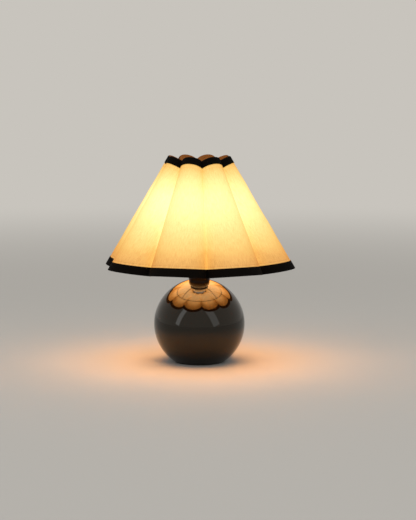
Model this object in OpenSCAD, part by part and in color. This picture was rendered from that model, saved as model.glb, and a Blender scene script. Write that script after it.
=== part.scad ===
// Table lamp: a glossy ball base, a screw lampholder with its bulb, and a fabric shade of eight petals.
// Millimetres. +Z is up, the origin is the middle of the foot, and the front faces -Y.
// Bearings are measured from the front, turning towards +X.

/* [Ball base] */
// Radius of the ball
ball_r = 63.4; // [60:0.1:68]
// Radius of the foot, where the ball is ground flat
foot_r = 36.7; // [33.6:0.1:40]
// Thickness of the glazed wall
ball_wall = 5; // [4:0.5:7]
// Radius of the ground flat on top, which carries the lampholder
top_flat_r = 13.8; // [13.5:0.1:15]
// Thickness of the floor web that the base plate is clamped against
web_t = 4; // [3:0.5:6]
// Radius of the opening in the floor web
web_hole_r = 24; // [22:0.5:26]

/* [Foot] */
// Thickness of the felt pad
pad_t = 1.5; // [1:0.1:3]
// How far the felt pad's rim stands back from the edge of the foot
pad_inset = 2.2; // [1:0.1:4]
// Thickness of the steel base plate
plate_t = 2.5; // [2:0.5:4]
// Radius of the steel base plate
plate_r = 30; // [28:0.5:31]
// Height of the iron ballast
ballast_h = 20; // [14:1:24]

/* [Tube and nuts] */
// Outer radius of the threaded tube
tube_r = 5; // [4.8:0.1:5.2]
// Wall of the threaded tube
tube_wall = 1; // [0.8:0.1:1.2]
// Width of a nut across its flats
nut_flats = 14; // [13:1:17]
// Height of a nut
nut_h = 4; // [3:0.5:5]
// Radius of the washer under the base plate
big_washer_r = 14; // [12:0.5:18]
// Radius of the washer on the ballast
small_washer_r = 8.5; // [8:0.5:9]
// Thickness of a washer
washer_t = 1; // [0.8:0.1:1.5]
// How far the tube's lower end stands below its nut
tube_stub = 0.5; // [0.2:0.1:1]
// How far the tube's upper end stands back inside its collar
tube_inset = 1; // [0.5:0.1:2]
// Radius of the wiring window in the side of the tube
window_r = 3.2; // [2.8:0.1:3.4]

/* [Cable inlet] */
// Angle of the inlet below the level of the ball's centre
inlet_angle = 30; // [25:1:35]
// Radius of the bore that the cable runs through
inlet_bore_r = 3.3; // [3:0.1:3.6]
// Wall of the bush
bush_wall = 1.7; // [1.2:0.1:2]
// How far the flange outside stands out past the barrel
bush_flange_out = 2.5; // [2:0.1:3]
// How far the lip inside stands out past the barrel
bush_lip_out = 1.4; // [1:0.1:2]
// Thickness of the flange outside
bush_flange_t = 1.8; // [1.2:0.1:2.5]
// Thickness of the lip inside
bush_lip_t = 1.5; // [1:0.1:2]

/* [Terminal block] */
// Size of the block from the tube outwards
block_x = 9; // [8:0.5:10]
// Length of the block across the two poles
block_y = 18; // [16:0.5:19]
// Height of the block
block_h = 13; // [12:0.5:15]
// Gap between the nut's corners and the block
block_gap = 3; // [2:0.5:4]
// Distance between the two poles
pole_pitch = 9; // [8:0.5:10]
// Radius of a pole's screw
pole_screw_r = 1.7; // [1.4:0.1:2]

/* [Leads] */
// Radius of an insulated lead
lead_r = 1; // [0.8:0.05:1.1]
// Distance of each lead from the tube's axis
lead_offset = 1.5; // [1.3:0.1:1.6]
// Radius of a lead's bend where it enters the tube
lead_low_bend = 2.6; // [2.4:0.1:2.7]
// Radius of a lead's bend where it leaves the tube
lead_top_bend = 4; // [3:0.5:4]
// Depth of the leads below the top of the terminal block
lead_drop = 3; // [2.5:0.5:3.5]

/* [Lampholder] */
// Outer radius of the lampholder's threaded skirt
holder_r = 19.75; // [19.4:0.05:20.2]
// Radius of the dome where it stands on the ball
dome_foot_r = 14.4; // [14:0.05:14.6]
// Height of the dome
dome_h = 21; // [20:0.5:24]
// Height of the skirt above the dome
skirt_h = 36; // [34:0.5:40]
// Wall of the dome and of the skirt
holder_wall = 2.2; // [1.8:0.1:2.4]
// Height of the collar inside the dome that the tube screws into
collar_h = 12; // [11:0.5:13]
// Wall of that collar
collar_wall = 2.9; // [2:0.1:3]
// Height of the spigot on the dome that the skirt screws over
spigot_h = 4; // [3:0.5:5]
// Wall of that spigot
spigot_wall = 2; // [1.5:0.1:2.2]
// Height of the shade flange above the skirt's foot
flange_up = 18; // [14:0.5:19]
// How far the shade flange stands out past the skirt
flange_out = 1.75; // [1.5:0.05:2.5]
// Thickness of the shade flange
flange_t = 2.5; // [2:0.1:4]
// Depth of the porcelain insert below its rim
insert_h = 6; // [5:0.5:7]
// Thickness of the insert's rim
insert_rim_t = 2; // [1.5:0.1:2.5]
// How far the ledge in the skirt stands over the insert's rim
ledge_in = 1.5; // [1:0.1:1.8]
// Radius of the grub screw that locks the dome to the tube
grub_r = 1.5; // [1.2:0.1:1.7]

/* [Contacts] */
// Inner radius of the brass screw shell
shell_r = 13.6; // [13.5:0.05:13.8]
// Thickness of the brass sheet
brass_t = 0.5; // [0.4:0.05:0.6]
// Height of the screw shell
shell_h = 26; // [24:0.5:28]
// Width of the shell's foot inside
shell_foot_w = 2.6; // [2:0.1:3]
// Height of the centre contact above the insert
contact_rise = 2.2; // [1.8:0.1:3]
// Width of the centre contact
tongue_w = 6; // [5:0.5:7]
// Length of the centre contact
tongue_len = 17; // [15:0.5:18]
// Side of a terminal
terminal_s = 6; // [5:0.5:6.5]
// Height of a terminal
terminal_h = 6.5; // [6:0.1:6.6]
// Distance from the tube's axis to a terminal's near face
terminal_x = 5.7; // [5.4:0.1:6]
// Radius of a terminal's screw
terminal_screw_r = 1.5; // [1.2:0.1:1.6]

/* [Bulb] */
// Overall length of the bulb
bulb_len = 105; // [100:1:108]
// Radius of the globe
globe_r = 30; // [27:0.5:30]
// Outer radius of the bulb's screw cap
cap_r = 13.3; // [13.2:0.05:13.35]
// Length of the screw cap
cap_len = 22; // [20:0.5:24]
// Height of the black glass insulator under the cap
insulator_h = 3.8; // [3:0.1:4.5]
// Radius of the centre contact on the bulb
tip_r = 4.5; // [4:0.1:5]
// Thickness of that contact
tip_t = 1.2; // [1:0.1:1.5]
// Thickness of the opal glass
glass_t = 0.9; // [0.7:0.1:1.2]
// Length of the neck between the cap and the flare
neck_len = 6; // [4:0.5:8]
// How far the glass reaches down into the cap
neck_in_cap = 8; // [6:0.5:10]

/* [Retaining ring] */
// Height of the ring
ring_h = 11; // [9:0.5:13]
// Thickness of the ring's broad foot
ring_foot_t = 3; // [2:0.5:4]
// Radius of the ring's broad foot
ring_foot_r = 24.5; // [24.5:0.5:27]
// Wall of the ring's collar
ring_wall = 3; // [2.5:0.1:3.2]
// Number of grip ribs round the collar
rib_count = 18; // [12:1:24]
// Radius of a grip rib
rib_r = 1.2; // [0.8:0.1:1.5]

/* [Shade] */
// Number of petals
petals = 8; // [7:1:9]
// Bearing of the valley nearest the front
shade_bearing = 5.5; // [0:0.5:22.5]
// Height of the lower edge above the table, at a valley
low_z = 129.7; // [127:0.1:132]
// Height of the upper edge above the table, at a valley
high_z = 280.7; // [272:0.1:290]
// Distance of a valley from the axis at the lower edge
low_valley_r = 103.5; // [98:0.5:110]
// Distance of a valley from the axis at the upper edge
high_valley_r = 36.3; // [36:0.1:40]
// Depth of a petal at the lower edge, as a share of half its width
low_depth_share = 1; // [0.8:0.01:1]
// Depth of a petal at the upper edge, as a share of half its width
high_depth_share = 0.75; // [0.6:0.01:0.9]
// How far the lower edge arches up at the middle of a petal
low_arch = 5.5; // [3:0.1:7]
// How far the upper edge arches up at the middle of a petal
high_arch = 6.2; // [3:0.1:8]
// Thickness of the laminated fabric
fabric_t = 0.8; // [0.6:0.05:1]
// Thickness of the binding tape
tape_t = 0.6; // [0.4:0.05:0.8]
// Width of the binding on the lower edge
low_tape_w = 12; // [9:0.5:14]
// Width of the binding on the upper edge
high_tape_w = 10; // [7:0.5:11]
// Straight facets round each petal
petal_steps = 16; // [8:2:20]

/* [Shade frame] */
// Radius of the frame's wire
wire_r = 1.5; // [1.2:0.1:1.8]
// Height of the lower wire ring above the lower edge
low_ring_up = 36; // [30:1:42]
// Drop of the upper wire ring below the upper edge
high_ring_down = 12.5; // [11.5:0.5:15]
// Number of arms
arms = 3; // [3:1:4]
// Bearing of the first arm
arm_bearing = 60; // [0:5:90]
// Outer radius of the fitter plate
fitter_r = 24.5; // [24:0.5:28]
// Thickness of the fitter plate
fitter_t = 1.2; // [1:0.1:2]
// Distance from the axis to the bend in an arm
arm_bend_r = 34; // [32:0.5:38]
// Radius of the bend in an arm, along the wire's middle
arm_curve = 7; // [5:0.5:10]

/* [Clearances] */
// Gap between pieces that rest on or screw into each other
seat_gap = 0.1; // [0.05:0.05:0.15]
// Gap between pieces that move past each other
slide_gap = 0.3; // [0.2:0.05:0.4]

/* [Hidden] */
$fn = 72;

// How far a cutter, or the root of a post, runs past a face
through = 1;

// Heights, from the table upwards
ball_z = pad_t + sqrt(pow(ball_r, 2) - pow(foot_r, 2));
tube_z = pad_t + slide_gap;
low_nut_z = tube_z + tube_stub;
plate_z = low_nut_z + nut_h + washer_t;
web_z = plate_z + plate_t;
ballast_top = web_z + ballast_h;
lead_z = to_hundredths(ballast_top + block_h - lead_drop);
dome_z = ball_z + sqrt(pow(ball_r, 2) - pow(top_flat_r, 2));
collar_top = dome_z + collar_h;
tube_top = collar_top - tube_inset;
skirt_z = dome_z + dome_h;
insert_rim_z = skirt_z + spigot_h;
insert_top = insert_rim_z + insert_rim_t;
insert_z = insert_rim_z - insert_h;
terminal_z = insert_z - terminal_h;
lead_exit_z = to_hundredths(terminal_z + terminal_h / 2);
fitter_z = skirt_z + flange_up + flange_t + seat_gap;
ring_z = fitter_z + fitter_t + seat_gap;
bulb_z = insert_top + contact_rise + slide_gap;
insulator_z = bulb_z + tip_t + seat_gap;
cap_z = insulator_z + insulator_h;
neck_z = cap_z + cap_len + neck_len;
globe_z = bulb_z + bulb_len - globe_r;
low_ring_z = low_z + low_ring_up;
high_ring_z = high_z - high_ring_down;

// Radii
pad_r = foot_r - pad_inset;
bore_r = tube_r + seat_gap;
bush_r = inlet_bore_r + bush_wall;
bush_flange_r = bush_r + bush_flange_out;
bush_lip_r = bush_r + bush_lip_out;
inlet_flat_r = bush_flange_r + slide_gap;
spigot_r = holder_r - holder_wall - seat_gap;
spigot_in = spigot_r - spigot_wall;
skirt_in = holder_r - holder_wall;
flange_r = holder_r + flange_out;
shade_hole_r = holder_r + slide_gap;
cap_in = cap_r - brass_t;
neck_r = cap_in - seat_gap;
nut_corner_r = nut_flats / 2 / cos(30);

// Distances along the inlet's own axis, from the ball's centre
bush_seat = sqrt(pow(ball_r, 2) - pow(inlet_flat_r, 2));
bush_lip_seat = sqrt(pow(ball_r - ball_wall, 2) - pow(bush_lip_r, 2)) - seat_gap;

function mix(a, b, t) = a + (b - a) * t;
function to_hundredths(v) = round(100 * v) / 100;
function turned(p, a) = [p.x * cos(a) - p.y * sin(a), p.x * sin(a) + p.y * cos(a), p.z];

// The lampholder's dome swells as a quarter of a sine wave
function dome_radius_at(z) = mix(dome_foot_r, holder_r, sin(90 * z / dome_h));

// The globe and its neck meet on a hollow curve that is tangent to both
flare_r = (pow(globe_z - neck_z, 2) + pow(neck_r, 2) - pow(globe_r, 2)) / (2 * (globe_r - neck_r));
flare_angle = acos((neck_r + flare_r) / (globe_r + flare_r));
curve_steps = 14;
function glass_line(inside) = concat(
    [[neck_r - inside, cap_z + cap_len - neck_in_cap]],
    [for (i = [0 : curve_steps])
        let (a = flare_angle * i / curve_steps, r = flare_r + inside)
        [neck_r + flare_r - r * cos(a), neck_z + r * sin(a)]],
    [for (i = [1 : 2 * curve_steps])
        let (a = mix(-flare_angle, 90, i / (2 * curve_steps)), r = globe_r - inside)
        [r * cos(a), globe_z + r * sin(a)]]
);

// A petal is an arc between two valleys at each edge of the shade, and straight lines join the two arcs.
// u runs from -1 to 1 across the petal, s from 0 to 1 up it, and d is the distance out from its outer face.
half_petal = 180 / petals;
function petal_bearing(number) = shade_bearing + (2 * number - 1) * half_petal;
function edge_point(valley_r, depth, z, arch, u, d) =
    let (half_width = valley_r * sin(half_petal),
         rise = depth * half_width,
         arc_r = (pow(half_width, 2) + pow(rise, 2)) / (2 * rise),
         centre = valley_r * cos(half_petal) + rise - arc_r,
         r = arc_r + d,
         reach = centre * cos(half_petal) + sqrt(pow(r, 2) - pow(centre * sin(half_petal), 2)),
         end = atan2(reach * sin(half_petal), reach * cos(half_petal) - centre),
         a = u * end)
    [r * sin(a), -centre - r * cos(a), z + arch * (cos(a) - cos(end)) / (1 - cos(end))];
function low_point(u, d) = edge_point(low_valley_r, low_depth_share, low_z, low_arch, u, d);
function high_point(u, d) = edge_point(high_valley_r, high_depth_share, high_z, high_arch, u, d);
function cover_point(u, s, d) = mix(low_point(u, d), high_point(u, d), s);
function cover_share(u, w) = w / norm(high_point(u, 0) - low_point(u, 0));
function valley_reach(z, d) =
    let (p = cover_point(1, (z - low_z) / (high_z - low_z), d)) norm([p.x, p.y]);

// A wire ring lies inside the valleys and touches each of them
valley_lean = atan2(low_valley_r - high_valley_r, high_z - low_z);
function wire_ring_r(z) = valley_reach(z, -fabric_t) - (wire_r + seat_gap) / cos(valley_lean);

module tube_between(r_out, r_in, z, h) {
    translate([0, 0, z]) difference() {
        cylinder(r = r_out, h = h);
        translate([0, 0, -through]) cylinder(r = r_in, h = h + 2 * through);
    }
}

module along_inlet() {
    translate([0, 0, ball_z]) rotate([-90 - inlet_angle, 0, 0]) children();
}

module felt_pad() {
    color("#2b2622") cylinder(r = pad_r, h = pad_t);
}

module base_plate() {
    color("#a9adb0") tube_between(plate_r, bore_r, plate_z, plate_t);
}

module ballast() {
    color("#4a4b4d") tube_between(web_hole_r - slide_gap, tube_r + slide_gap, web_z, ballast_h);
}

module ball_shell() {
    color("#0b0a0a") difference() {
        translate([0, 0, ball_z]) sphere(r = ball_r, $fn = 120);
        translate([0, 0, pad_t - ball_r]) cylinder(r = ball_r, h = ball_r);
        translate([0, 0, dome_z]) cylinder(r = ball_r, h = ball_r);
        translate([0, 0, pad_t - through]) cylinder(r = plate_r + slide_gap, h = web_z - pad_t + through);
        translate([0, 0, pad_t]) cylinder(r = web_hole_r, h = ball_z - pad_t);
        translate([0, 0, ball_z]) cylinder(r = tube_r + slide_gap, h = 2 * ball_r);
        difference() {
            translate([0, 0, ball_z]) sphere(r = ball_r - ball_wall, $fn = 120);
            translate([0, 0, -ball_r]) cylinder(r = ball_r, h = ball_r + web_z + web_t);
        }
        along_inlet() {
            cylinder(r = bush_r + seat_gap, h = ball_r);
            translate([0, 0, bush_seat]) cylinder(r = inlet_flat_r, h = ball_r);
        }
    }
}

module cable_bush() {
    color("#111111") along_inlet() rotate_extrude() polygon([
        [inlet_bore_r, bush_lip_seat - bush_lip_t],
        [bush_lip_r - bush_lip_t / 2, bush_lip_seat - bush_lip_t],
        [bush_lip_r, bush_lip_seat - bush_lip_t / 2],
        [bush_lip_r, bush_lip_seat],
        [bush_r, bush_lip_seat],
        [bush_r, bush_seat],
        [bush_flange_r, bush_seat],
        [bush_flange_r, bush_seat + bush_flange_t / 2],
        [bush_flange_r - bush_flange_t / 2, bush_seat + bush_flange_t],
        [inlet_bore_r, bush_seat + bush_flange_t]
    ]);
}

module threaded_tube() {
    color("#c9c4b4") difference() {
        tube_between(tube_r, tube_r - tube_wall, tube_z, tube_top - tube_z);
        translate([0, 0, lead_z]) rotate([0, 90, 0]) cylinder(r = window_r, h = 2 * tube_r);
    }
}

module nut(z) {
    translate([0, 0, z]) difference() {
        cylinder(r = nut_corner_r, h = nut_h, $fn = 6);
        translate([0, 0, -through]) cylinder(r = bore_r, h = nut_h + 2 * through);
    }
}

module tube_nuts() {
    color("#c2bfb6") {
        nut(low_nut_z);
        nut(ballast_top + washer_t);
    }
}

module tube_washers() {
    color("#b8b8b4") {
        tube_between(big_washer_r, bore_r, plate_z - washer_t, washer_t);
        tube_between(small_washer_r, bore_r, ballast_top, washer_t);
    }
}

block_near = nut_corner_r + block_gap;
pole_y = pole_pitch / 2;
pole_screw_depth = block_h / 3;

module at_each_pole() {
    for (side = [-1, 1])
        translate([block_near + block_x / 2, side * pole_y, ballast_top + block_h])
            children();
}

module terminal_block() {
    color("#e9e6dc") difference() {
        translate([block_near, -block_y / 2, ballast_top]) cube([block_x, block_y, block_h]);
        at_each_pole() translate([0, 0, -pole_screw_depth])
            cylinder(r = pole_screw_r + seat_gap, h = pole_screw_depth + through);
    }
}

module block_screws() {
    slot_w = pole_screw_r / 2;
    color("#d8c27a") at_each_pole() difference() {
        translate([0, 0, -pole_screw_depth]) cylinder(r = pole_screw_r, h = pole_screw_depth - slot_w);
        translate([-2 * pole_screw_r, -slot_w / 2, -2 * slot_w]) cube([4 * pole_screw_r, slot_w, 2 * slot_w]);
    }
}

// A lead runs from the block through the tube's window, up the tube and out to its terminal. Its two heights
// are in hundredths of a millimetre, so that the bends meet the straight run exactly.
module lead(side) {
    run_x = block_near - seat_gap - lead_low_bend;
    run_top = lead_exit_z - lead_top_bend;
    end_x = terminal_x - seat_gap;
    translate([0, side * lead_offset, 0]) {
        translate([lead_low_bend, 0, lead_z]) rotate([0, 90, 0]) cylinder(r = lead_r, h = run_x);
        translate([lead_low_bend, 0, lead_z + lead_low_bend]) lead_bend(lead_low_bend, 180);
        translate([0, 0, lead_z + lead_low_bend]) cylinder(r = lead_r, h = run_top - lead_z - lead_low_bend);
        translate([side * lead_top_bend, 0, run_top]) lead_bend(lead_top_bend, side > 0 ? 90 : 0);
        translate([side * lead_top_bend, 0, lead_exit_z]) rotate([0, side * 90, 0])
            cylinder(r = lead_r, h = end_x - lead_top_bend);
    }
}

module lead_bend(bend_r, start) {
    rotate([90, 0, 0]) rotate([0, 0, start]) rotate_extrude(angle = 90)
        translate([bend_r, 0]) circle(r = lead_r);
}

module lead_left() { color("#3f6fae") lead(-1); }
module lead_right() { color("#7a4a2c") lead(1); }

module holder_dome() {
    steps = 14;
    floor_t = holder_wall;
    collar_r = bore_r + collar_wall;
    color("#0d0d0d") difference() {
        translate([0, 0, dome_z]) rotate_extrude() polygon(concat(
            [for (i = [0 : steps]) let (z = dome_h * i / steps) [dome_radius_at(z), z]],
            [[spigot_r, dome_h], [spigot_r, dome_h + spigot_h], [spigot_in, dome_h + spigot_h]],
            [for (i = [steps : -1 : 0])
                let (z = mix(floor_t, dome_h, i / steps))
                [min(dome_radius_at(z) - holder_wall, spigot_in), z]],
            [[collar_r, floor_t], [collar_r, collar_h], [bore_r, collar_h], [bore_r, 0]]
        ));
        at_grub() cylinder(r = grub_r + seat_gap, h = holder_r);
    }
}

grub_z = collar_h / 2;
module at_grub() {
    translate([0, bore_r, dome_z + grub_z]) rotate([-90, 0, 0]) children();
}

module grub_screw() {
    length = dome_radius_at(grub_z) - bore_r - grub_r;
    key_r = grub_r / 2;
    color("#6d6a64") at_grub() difference() {
        cylinder(r = grub_r, h = length);
        translate([0, 0, length - grub_r]) cylinder(r = key_r, h = 2 * grub_r, $fn = 6);
    }
}

module holder_skirt() {
    ledge_z = spigot_h + insert_rim_t + seat_gap;
    lip_in = skirt_in - ledge_in;
    edge = holder_wall / 4;
    color("#0d0d0d") translate([0, 0, skirt_z]) rotate_extrude() polygon([
        [skirt_in, 0],
        [holder_r - edge, 0],
        [holder_r, edge],
        [holder_r, flange_up],
        [flange_r - edge, flange_up],
        [flange_r, flange_up + edge],
        [flange_r, flange_up + flange_t],
        [holder_r, flange_up + flange_t],
        [holder_r, skirt_h - edge],
        [holder_r - edge, skirt_h],
        [lip_in, skirt_h],
        [lip_in, ledge_z],
        [skirt_in, ledge_z]
    ]);
}

terminal_mid = terminal_x + terminal_s / 2;

module at_each_terminal(z) {
    for (turn = [0, 180]) rotate([0, 0, turn]) translate([terminal_mid, 0, z]) children();
}

module holder_insert() {
    color("#ece8df") difference() {
        union() {
            translate([0, 0, insert_z]) cylinder(r = spigot_in - slide_gap, h = insert_h);
            translate([0, 0, insert_rim_z]) cylinder(r = skirt_in - slide_gap, h = insert_rim_t);
        }
        at_each_terminal(insert_z - through)
            cylinder(r = terminal_screw_r + seat_gap, h = insert_top - insert_z + 2 * through);
    }
}

module screw_shell() {
    color("#cfa85a") translate([0, 0, insert_top]) rotate_extrude() polygon([
        [shell_r - shell_foot_w, 0],
        [shell_r + brass_t, 0],
        [shell_r + brass_t, shell_h],
        [shell_r, shell_h],
        [shell_r, brass_t],
        [shell_r - shell_foot_w, brass_t]
    ]);
}

// A tongue of brass strip, flat on the insert at one end and sprung up under the bulb at the other
module centre_contact() {
    foot_end = -tongue_len / 5;
    rise_end = tip_r / 4 - brass_t;
    far = tongue_len / 2 - brass_t;
    color("#cfa85a") translate([0, tongue_w / 2, insert_top]) rotate([90, 0, 0])
        linear_extrude(tongue_w) polygon([
            [-tongue_len / 2, 0],
            [foot_end, 0],
            [rise_end, contact_rise - brass_t],
            [tip_r, contact_rise - 2 * brass_t],
            [tip_r, contact_rise - brass_t],
            [rise_end, contact_rise],
            [foot_end, brass_t],
            [-tongue_len / 2, brass_t]
        ]);
}

// Each terminal is a brass block with a post up through the insert
module side_terminals() {
    color("#cfa85a") difference() {
        union() {
            at_each_terminal(terminal_z + terminal_h / 2)
                cube([terminal_s, terminal_s, terminal_h], center = true);
            at_each_terminal(insert_z - through)
                cylinder(r = terminal_screw_r, h = insert_top - insert_z + through);
        }
        at_each_terminal(lead_exit_z) rotate([0, 90, 0])
            cylinder(r = terminal_screw_r + seat_gap, h = terminal_s);
    }
}

module terminal_screws() {
    head_t = terminal_screw_r;
    head_r = 1.6 * terminal_screw_r;
    color("#b9b3a4") at_each_terminal(lead_exit_z) rotate([0, 90, 0]) {
        translate([0, 0, seat_gap]) cylinder(r = terminal_screw_r, h = terminal_s / 2 + head_t - seat_gap);
        translate([0, 0, terminal_s / 2]) cylinder(r = head_r, h = head_t);
    }
}

module retaining_ring() {
    collar_r = shade_hole_r + ring_wall;
    edge = ring_wall / 4;
    color("#0f0f0f") translate([0, 0, ring_z]) {
        rotate_extrude() polygon([
            [shade_hole_r, 0],
            [ring_foot_r - edge, 0],
            [ring_foot_r, edge],
            [ring_foot_r, ring_foot_t - edge],
            [ring_foot_r - edge, ring_foot_t],
            [collar_r, ring_foot_t],
            [collar_r, ring_h - edge],
            [collar_r - edge, ring_h],
            [shade_hole_r, ring_h]
        ]);
        for (i = [0 : rib_count - 1]) rotate([0, 0, i * 360 / rib_count])
            translate([collar_r, 0, ring_foot_t / 2])
                cylinder(r = rib_r, h = ring_h - ring_foot_t / 2 - 2 * edge);
    }
}

module bulb_tip() {
    color("#b7a98a") translate([0, 0, bulb_z]) rotate_extrude() polygon([
        [0, 0], [tip_r / 2, 0], [tip_r, tip_t / 2], [tip_r, tip_t], [0, tip_t]
    ]);
}

module bulb_insulator() {
    plug_r = cap_in - seat_gap;
    color("#17151a") translate([0, 0, insulator_z]) rotate_extrude() polygon([
        [0, 0], [tip_r + tip_t, 0], [plug_r, insulator_h], [plug_r, 2 * insulator_h - tip_t],
        [0, 2 * insulator_h - tip_t]
    ]);
}

module bulb_cap() {
    color("#c8c9c6") tube_between(cap_r, cap_in, cap_z, cap_len);
}

module bulb_globe() {
    inner = glass_line(glass_t);
    color("#fff3d6") rotate_extrude() polygon(concat(
        glass_line(0),
        [for (i = [len(inner) - 1 : -1 : 0]) inner[i]]
    ));
}

// An arm's wire: a level leg along +X, a bend upwards at the length given, and a leg that climbs from there.
// The bend is a hair thicker than the legs, which end a little way inside it.
module arm_wire(level, rise, run) {
    climb = atan2(rise, run);
    bend_wire_r = wire_r + wire_r / 50;
    sunk = wire_r / 5;
    cut_back = arm_curve * tan(climb / 2);
    rotate([0, 90, 0]) cylinder(r = wire_r, h = level - cut_back + sunk);
    translate([level - cut_back, 0, arm_curve]) rotate([90, 0, 0]) rotate([0, 0, -90])
        rotate_extrude(angle = climb) translate([arm_curve, 0]) circle(r = bend_wire_r);
    translate([level, 0, 0]) rotate([0, 90 - climb, 0]) translate([0, 0, cut_back - sunk])
        cylinder(r = wire_r, h = norm([run, rise]) - wire_r - seat_gap - cut_back + sunk);
}

// The fitter: a plate that drops over the skirt, and arms that run from it to the lower wire ring
module shade_fitter() {
    weld = wire_r / 5;
    arm_z = fitter_z - wire_r + weld;
    arm_start = flange_r + slide_gap;
    color("#efece4") {
        tube_between(fitter_r, shade_hole_r, fitter_z, fitter_t);
        for (i = [0 : arms - 1]) rotate([0, 0, arm_bearing + i * 360 / arms - 90])
            translate([arm_start, 0, arm_z])
                arm_wire(arm_bend_r - arm_start, low_ring_z - arm_z, wire_ring_r(low_ring_z) - arm_bend_r);
    }
}

module wire_ring(z) {
    color("#efece4") translate([0, 0, z]) rotate_extrude($fn = 120)
        translate([wire_ring_r(z), 0]) circle(r = wire_r, $fn = 32);
}

module lower_wire_ring() { wire_ring(low_ring_z); }
module upper_wire_ring() { wire_ring(high_ring_z); }

// One petal of the cover, cut on the two planes that run up its valleys
module petal(number) {
    n = petal_steps + 1;
    across = [for (j = [0 : petal_steps]) mix(-1, 1, j / petal_steps)];
    points = concat(
        [for (u = across) low_point(u, 0)],
        [for (u = across) high_point(u, 0)],
        [for (u = across) low_point(u, -fabric_t)],
        [for (u = across) high_point(u, -fabric_t)]
    );
    low_out = 0;
    high_out = n;
    low_in = 2 * n;
    high_in = 3 * n;
    faces = concat(
        [for (j = [0 : petal_steps - 1]) each [
            [low_out + j, high_out + j, high_out + j + 1],
            [low_out + j, high_out + j + 1, low_out + j + 1],
            [low_in + j, low_in + j + 1, high_in + j + 1],
            [low_in + j, high_in + j + 1, high_in + j],
            [low_out + j, low_out + j + 1, low_in + j + 1],
            [low_out + j, low_in + j + 1, low_in + j],
            [high_out + j + 1, high_out + j, high_in + j],
            [high_out + j + 1, high_in + j, high_in + j + 1]
        ]],
        [[high_out, low_out, low_in, high_in]],
        [[low_out + n - 1, high_out + n - 1, high_in + n - 1, low_in + n - 1]]
    );
    color("#f3e2bd") rotate([0, 0, petal_bearing(number)])
        polyhedron(points = points, faces = faces, convexity = 6);
}

// A closed ring that carries a cross-section round every petal. Each column has its own section,
// a list of [share up the petal, distance out].
module swept_round_petals(sections) {
    columns = petals * petal_steps;
    n = len(sections[0]);
    points = [for (k = [0 : petals - 1], j = [0 : petal_steps - 1])
        for (p = sections[j])
            turned(cover_point(mix(-1, 1, j / petal_steps), p[0], p[1]), petal_bearing(k + 1))];
    faces = [for (i = [0 : columns - 1], q = [0 : n - 1])
        let (a = i * n, b = (i + 1) % columns * n, up = (q + 1) % n)
        each [[a + q, a + up, b + up], [a + q, b + up, b + q]]];
    polyhedron(points = points, faces = faces, convexity = 6);
}

tape_out = seat_gap + tape_t;
tape_in = -fabric_t - seat_gap;

module lower_binding() {
    color("#14100d") swept_round_petals([for (j = [0 : petal_steps - 1])
        let (u = mix(-1, 1, j / petal_steps),
             top = cover_share(u, low_tape_w),
             under = -cover_share(u, seat_gap),
             bottom = -cover_share(u, tape_out))
        [[bottom, tape_out], [top, tape_out], [top, seat_gap], [under, seat_gap],
         [under, tape_in], [top, tape_in], [top, tape_in - tape_t], [bottom, tape_in - tape_t]]
    ]);
}

module upper_binding() {
    color("#14100d") swept_round_petals([for (j = [0 : petal_steps - 1])
        let (u = mix(-1, 1, j / petal_steps),
             low = 1 - cover_share(u, high_tape_w),
             over = 1 + cover_share(u, seat_gap),
             top = 1 + cover_share(u, tape_out))
        [[low, tape_out], [top, tape_out], [top, tape_in - tape_t], [low, tape_in - tape_t],
         [low, tape_in], [over, tape_in], [over, seat_gap], [low, seat_gap]]
    ]);
}

felt_pad();
base_plate();
ballast();
ball_shell();
cable_bush();
threaded_tube();
tube_nuts();
tube_washers();
terminal_block();
block_screws();
lead_left();
lead_right();
holder_dome();
grub_screw();
holder_skirt();
holder_insert();
screw_shell();
centre_contact();
side_terminals();
terminal_screws();
retaining_ring();
bulb_tip();
bulb_insulator();
bulb_cap();
bulb_globe();
shade_fitter();
lower_wire_ring();
upper_wire_ring();
petal(1);  // petal_1
petal(2);  // petal_2
petal(3);  // petal_3
petal(4);  // petal_4
petal(5);  // petal_5
petal(6);  // petal_6
petal(7);  // petal_7
petal(8);  // petal_8
lower_binding();
upper_binding();
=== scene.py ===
"""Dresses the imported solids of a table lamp: a glazed ball base, a screw lampholder with its bulb, and a lit
fabric shade of eight petals with dark bindings.

Sizes in the classes are millimetres and meshes are metres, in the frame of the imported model: +Z is up, the
origin is the middle of the foot and the front faces -Y. Bearings run from the front towards +X.
"""

import logging
import math
from dataclasses import dataclass
from enum import Enum
from functools import cache
from typing import Callable, Sequence

import bmesh
import bpy
from mathutils import Matrix, Quaternion, Vector, noise


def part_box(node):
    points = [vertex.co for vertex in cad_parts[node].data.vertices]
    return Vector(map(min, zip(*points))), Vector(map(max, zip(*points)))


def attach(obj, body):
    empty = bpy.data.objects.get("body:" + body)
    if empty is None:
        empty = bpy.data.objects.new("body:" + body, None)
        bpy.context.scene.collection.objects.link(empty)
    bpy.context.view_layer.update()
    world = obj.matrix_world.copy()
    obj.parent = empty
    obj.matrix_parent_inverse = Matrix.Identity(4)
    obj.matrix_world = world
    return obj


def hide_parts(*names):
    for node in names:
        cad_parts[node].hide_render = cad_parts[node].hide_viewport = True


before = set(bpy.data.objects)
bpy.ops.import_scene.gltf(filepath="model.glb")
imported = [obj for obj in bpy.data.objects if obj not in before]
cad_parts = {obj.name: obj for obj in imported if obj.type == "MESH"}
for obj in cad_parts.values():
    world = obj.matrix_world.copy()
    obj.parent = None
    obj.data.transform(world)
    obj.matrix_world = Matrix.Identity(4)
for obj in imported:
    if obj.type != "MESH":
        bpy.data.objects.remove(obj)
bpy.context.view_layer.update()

log = logging.getLogger("lamp")

MM = 0.001
TURN = 2 * math.pi
# Gap between pieces that fit into each other, in millimetres
PLAY = 0.1
# Pitch of the thread between the lampholder's skirt and its ring, and the climb over which it fades at its
# ends, in millimetres
HOLDER_PITCH = 2.5
HOLDER_RUN_OUT = 1.5
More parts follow.
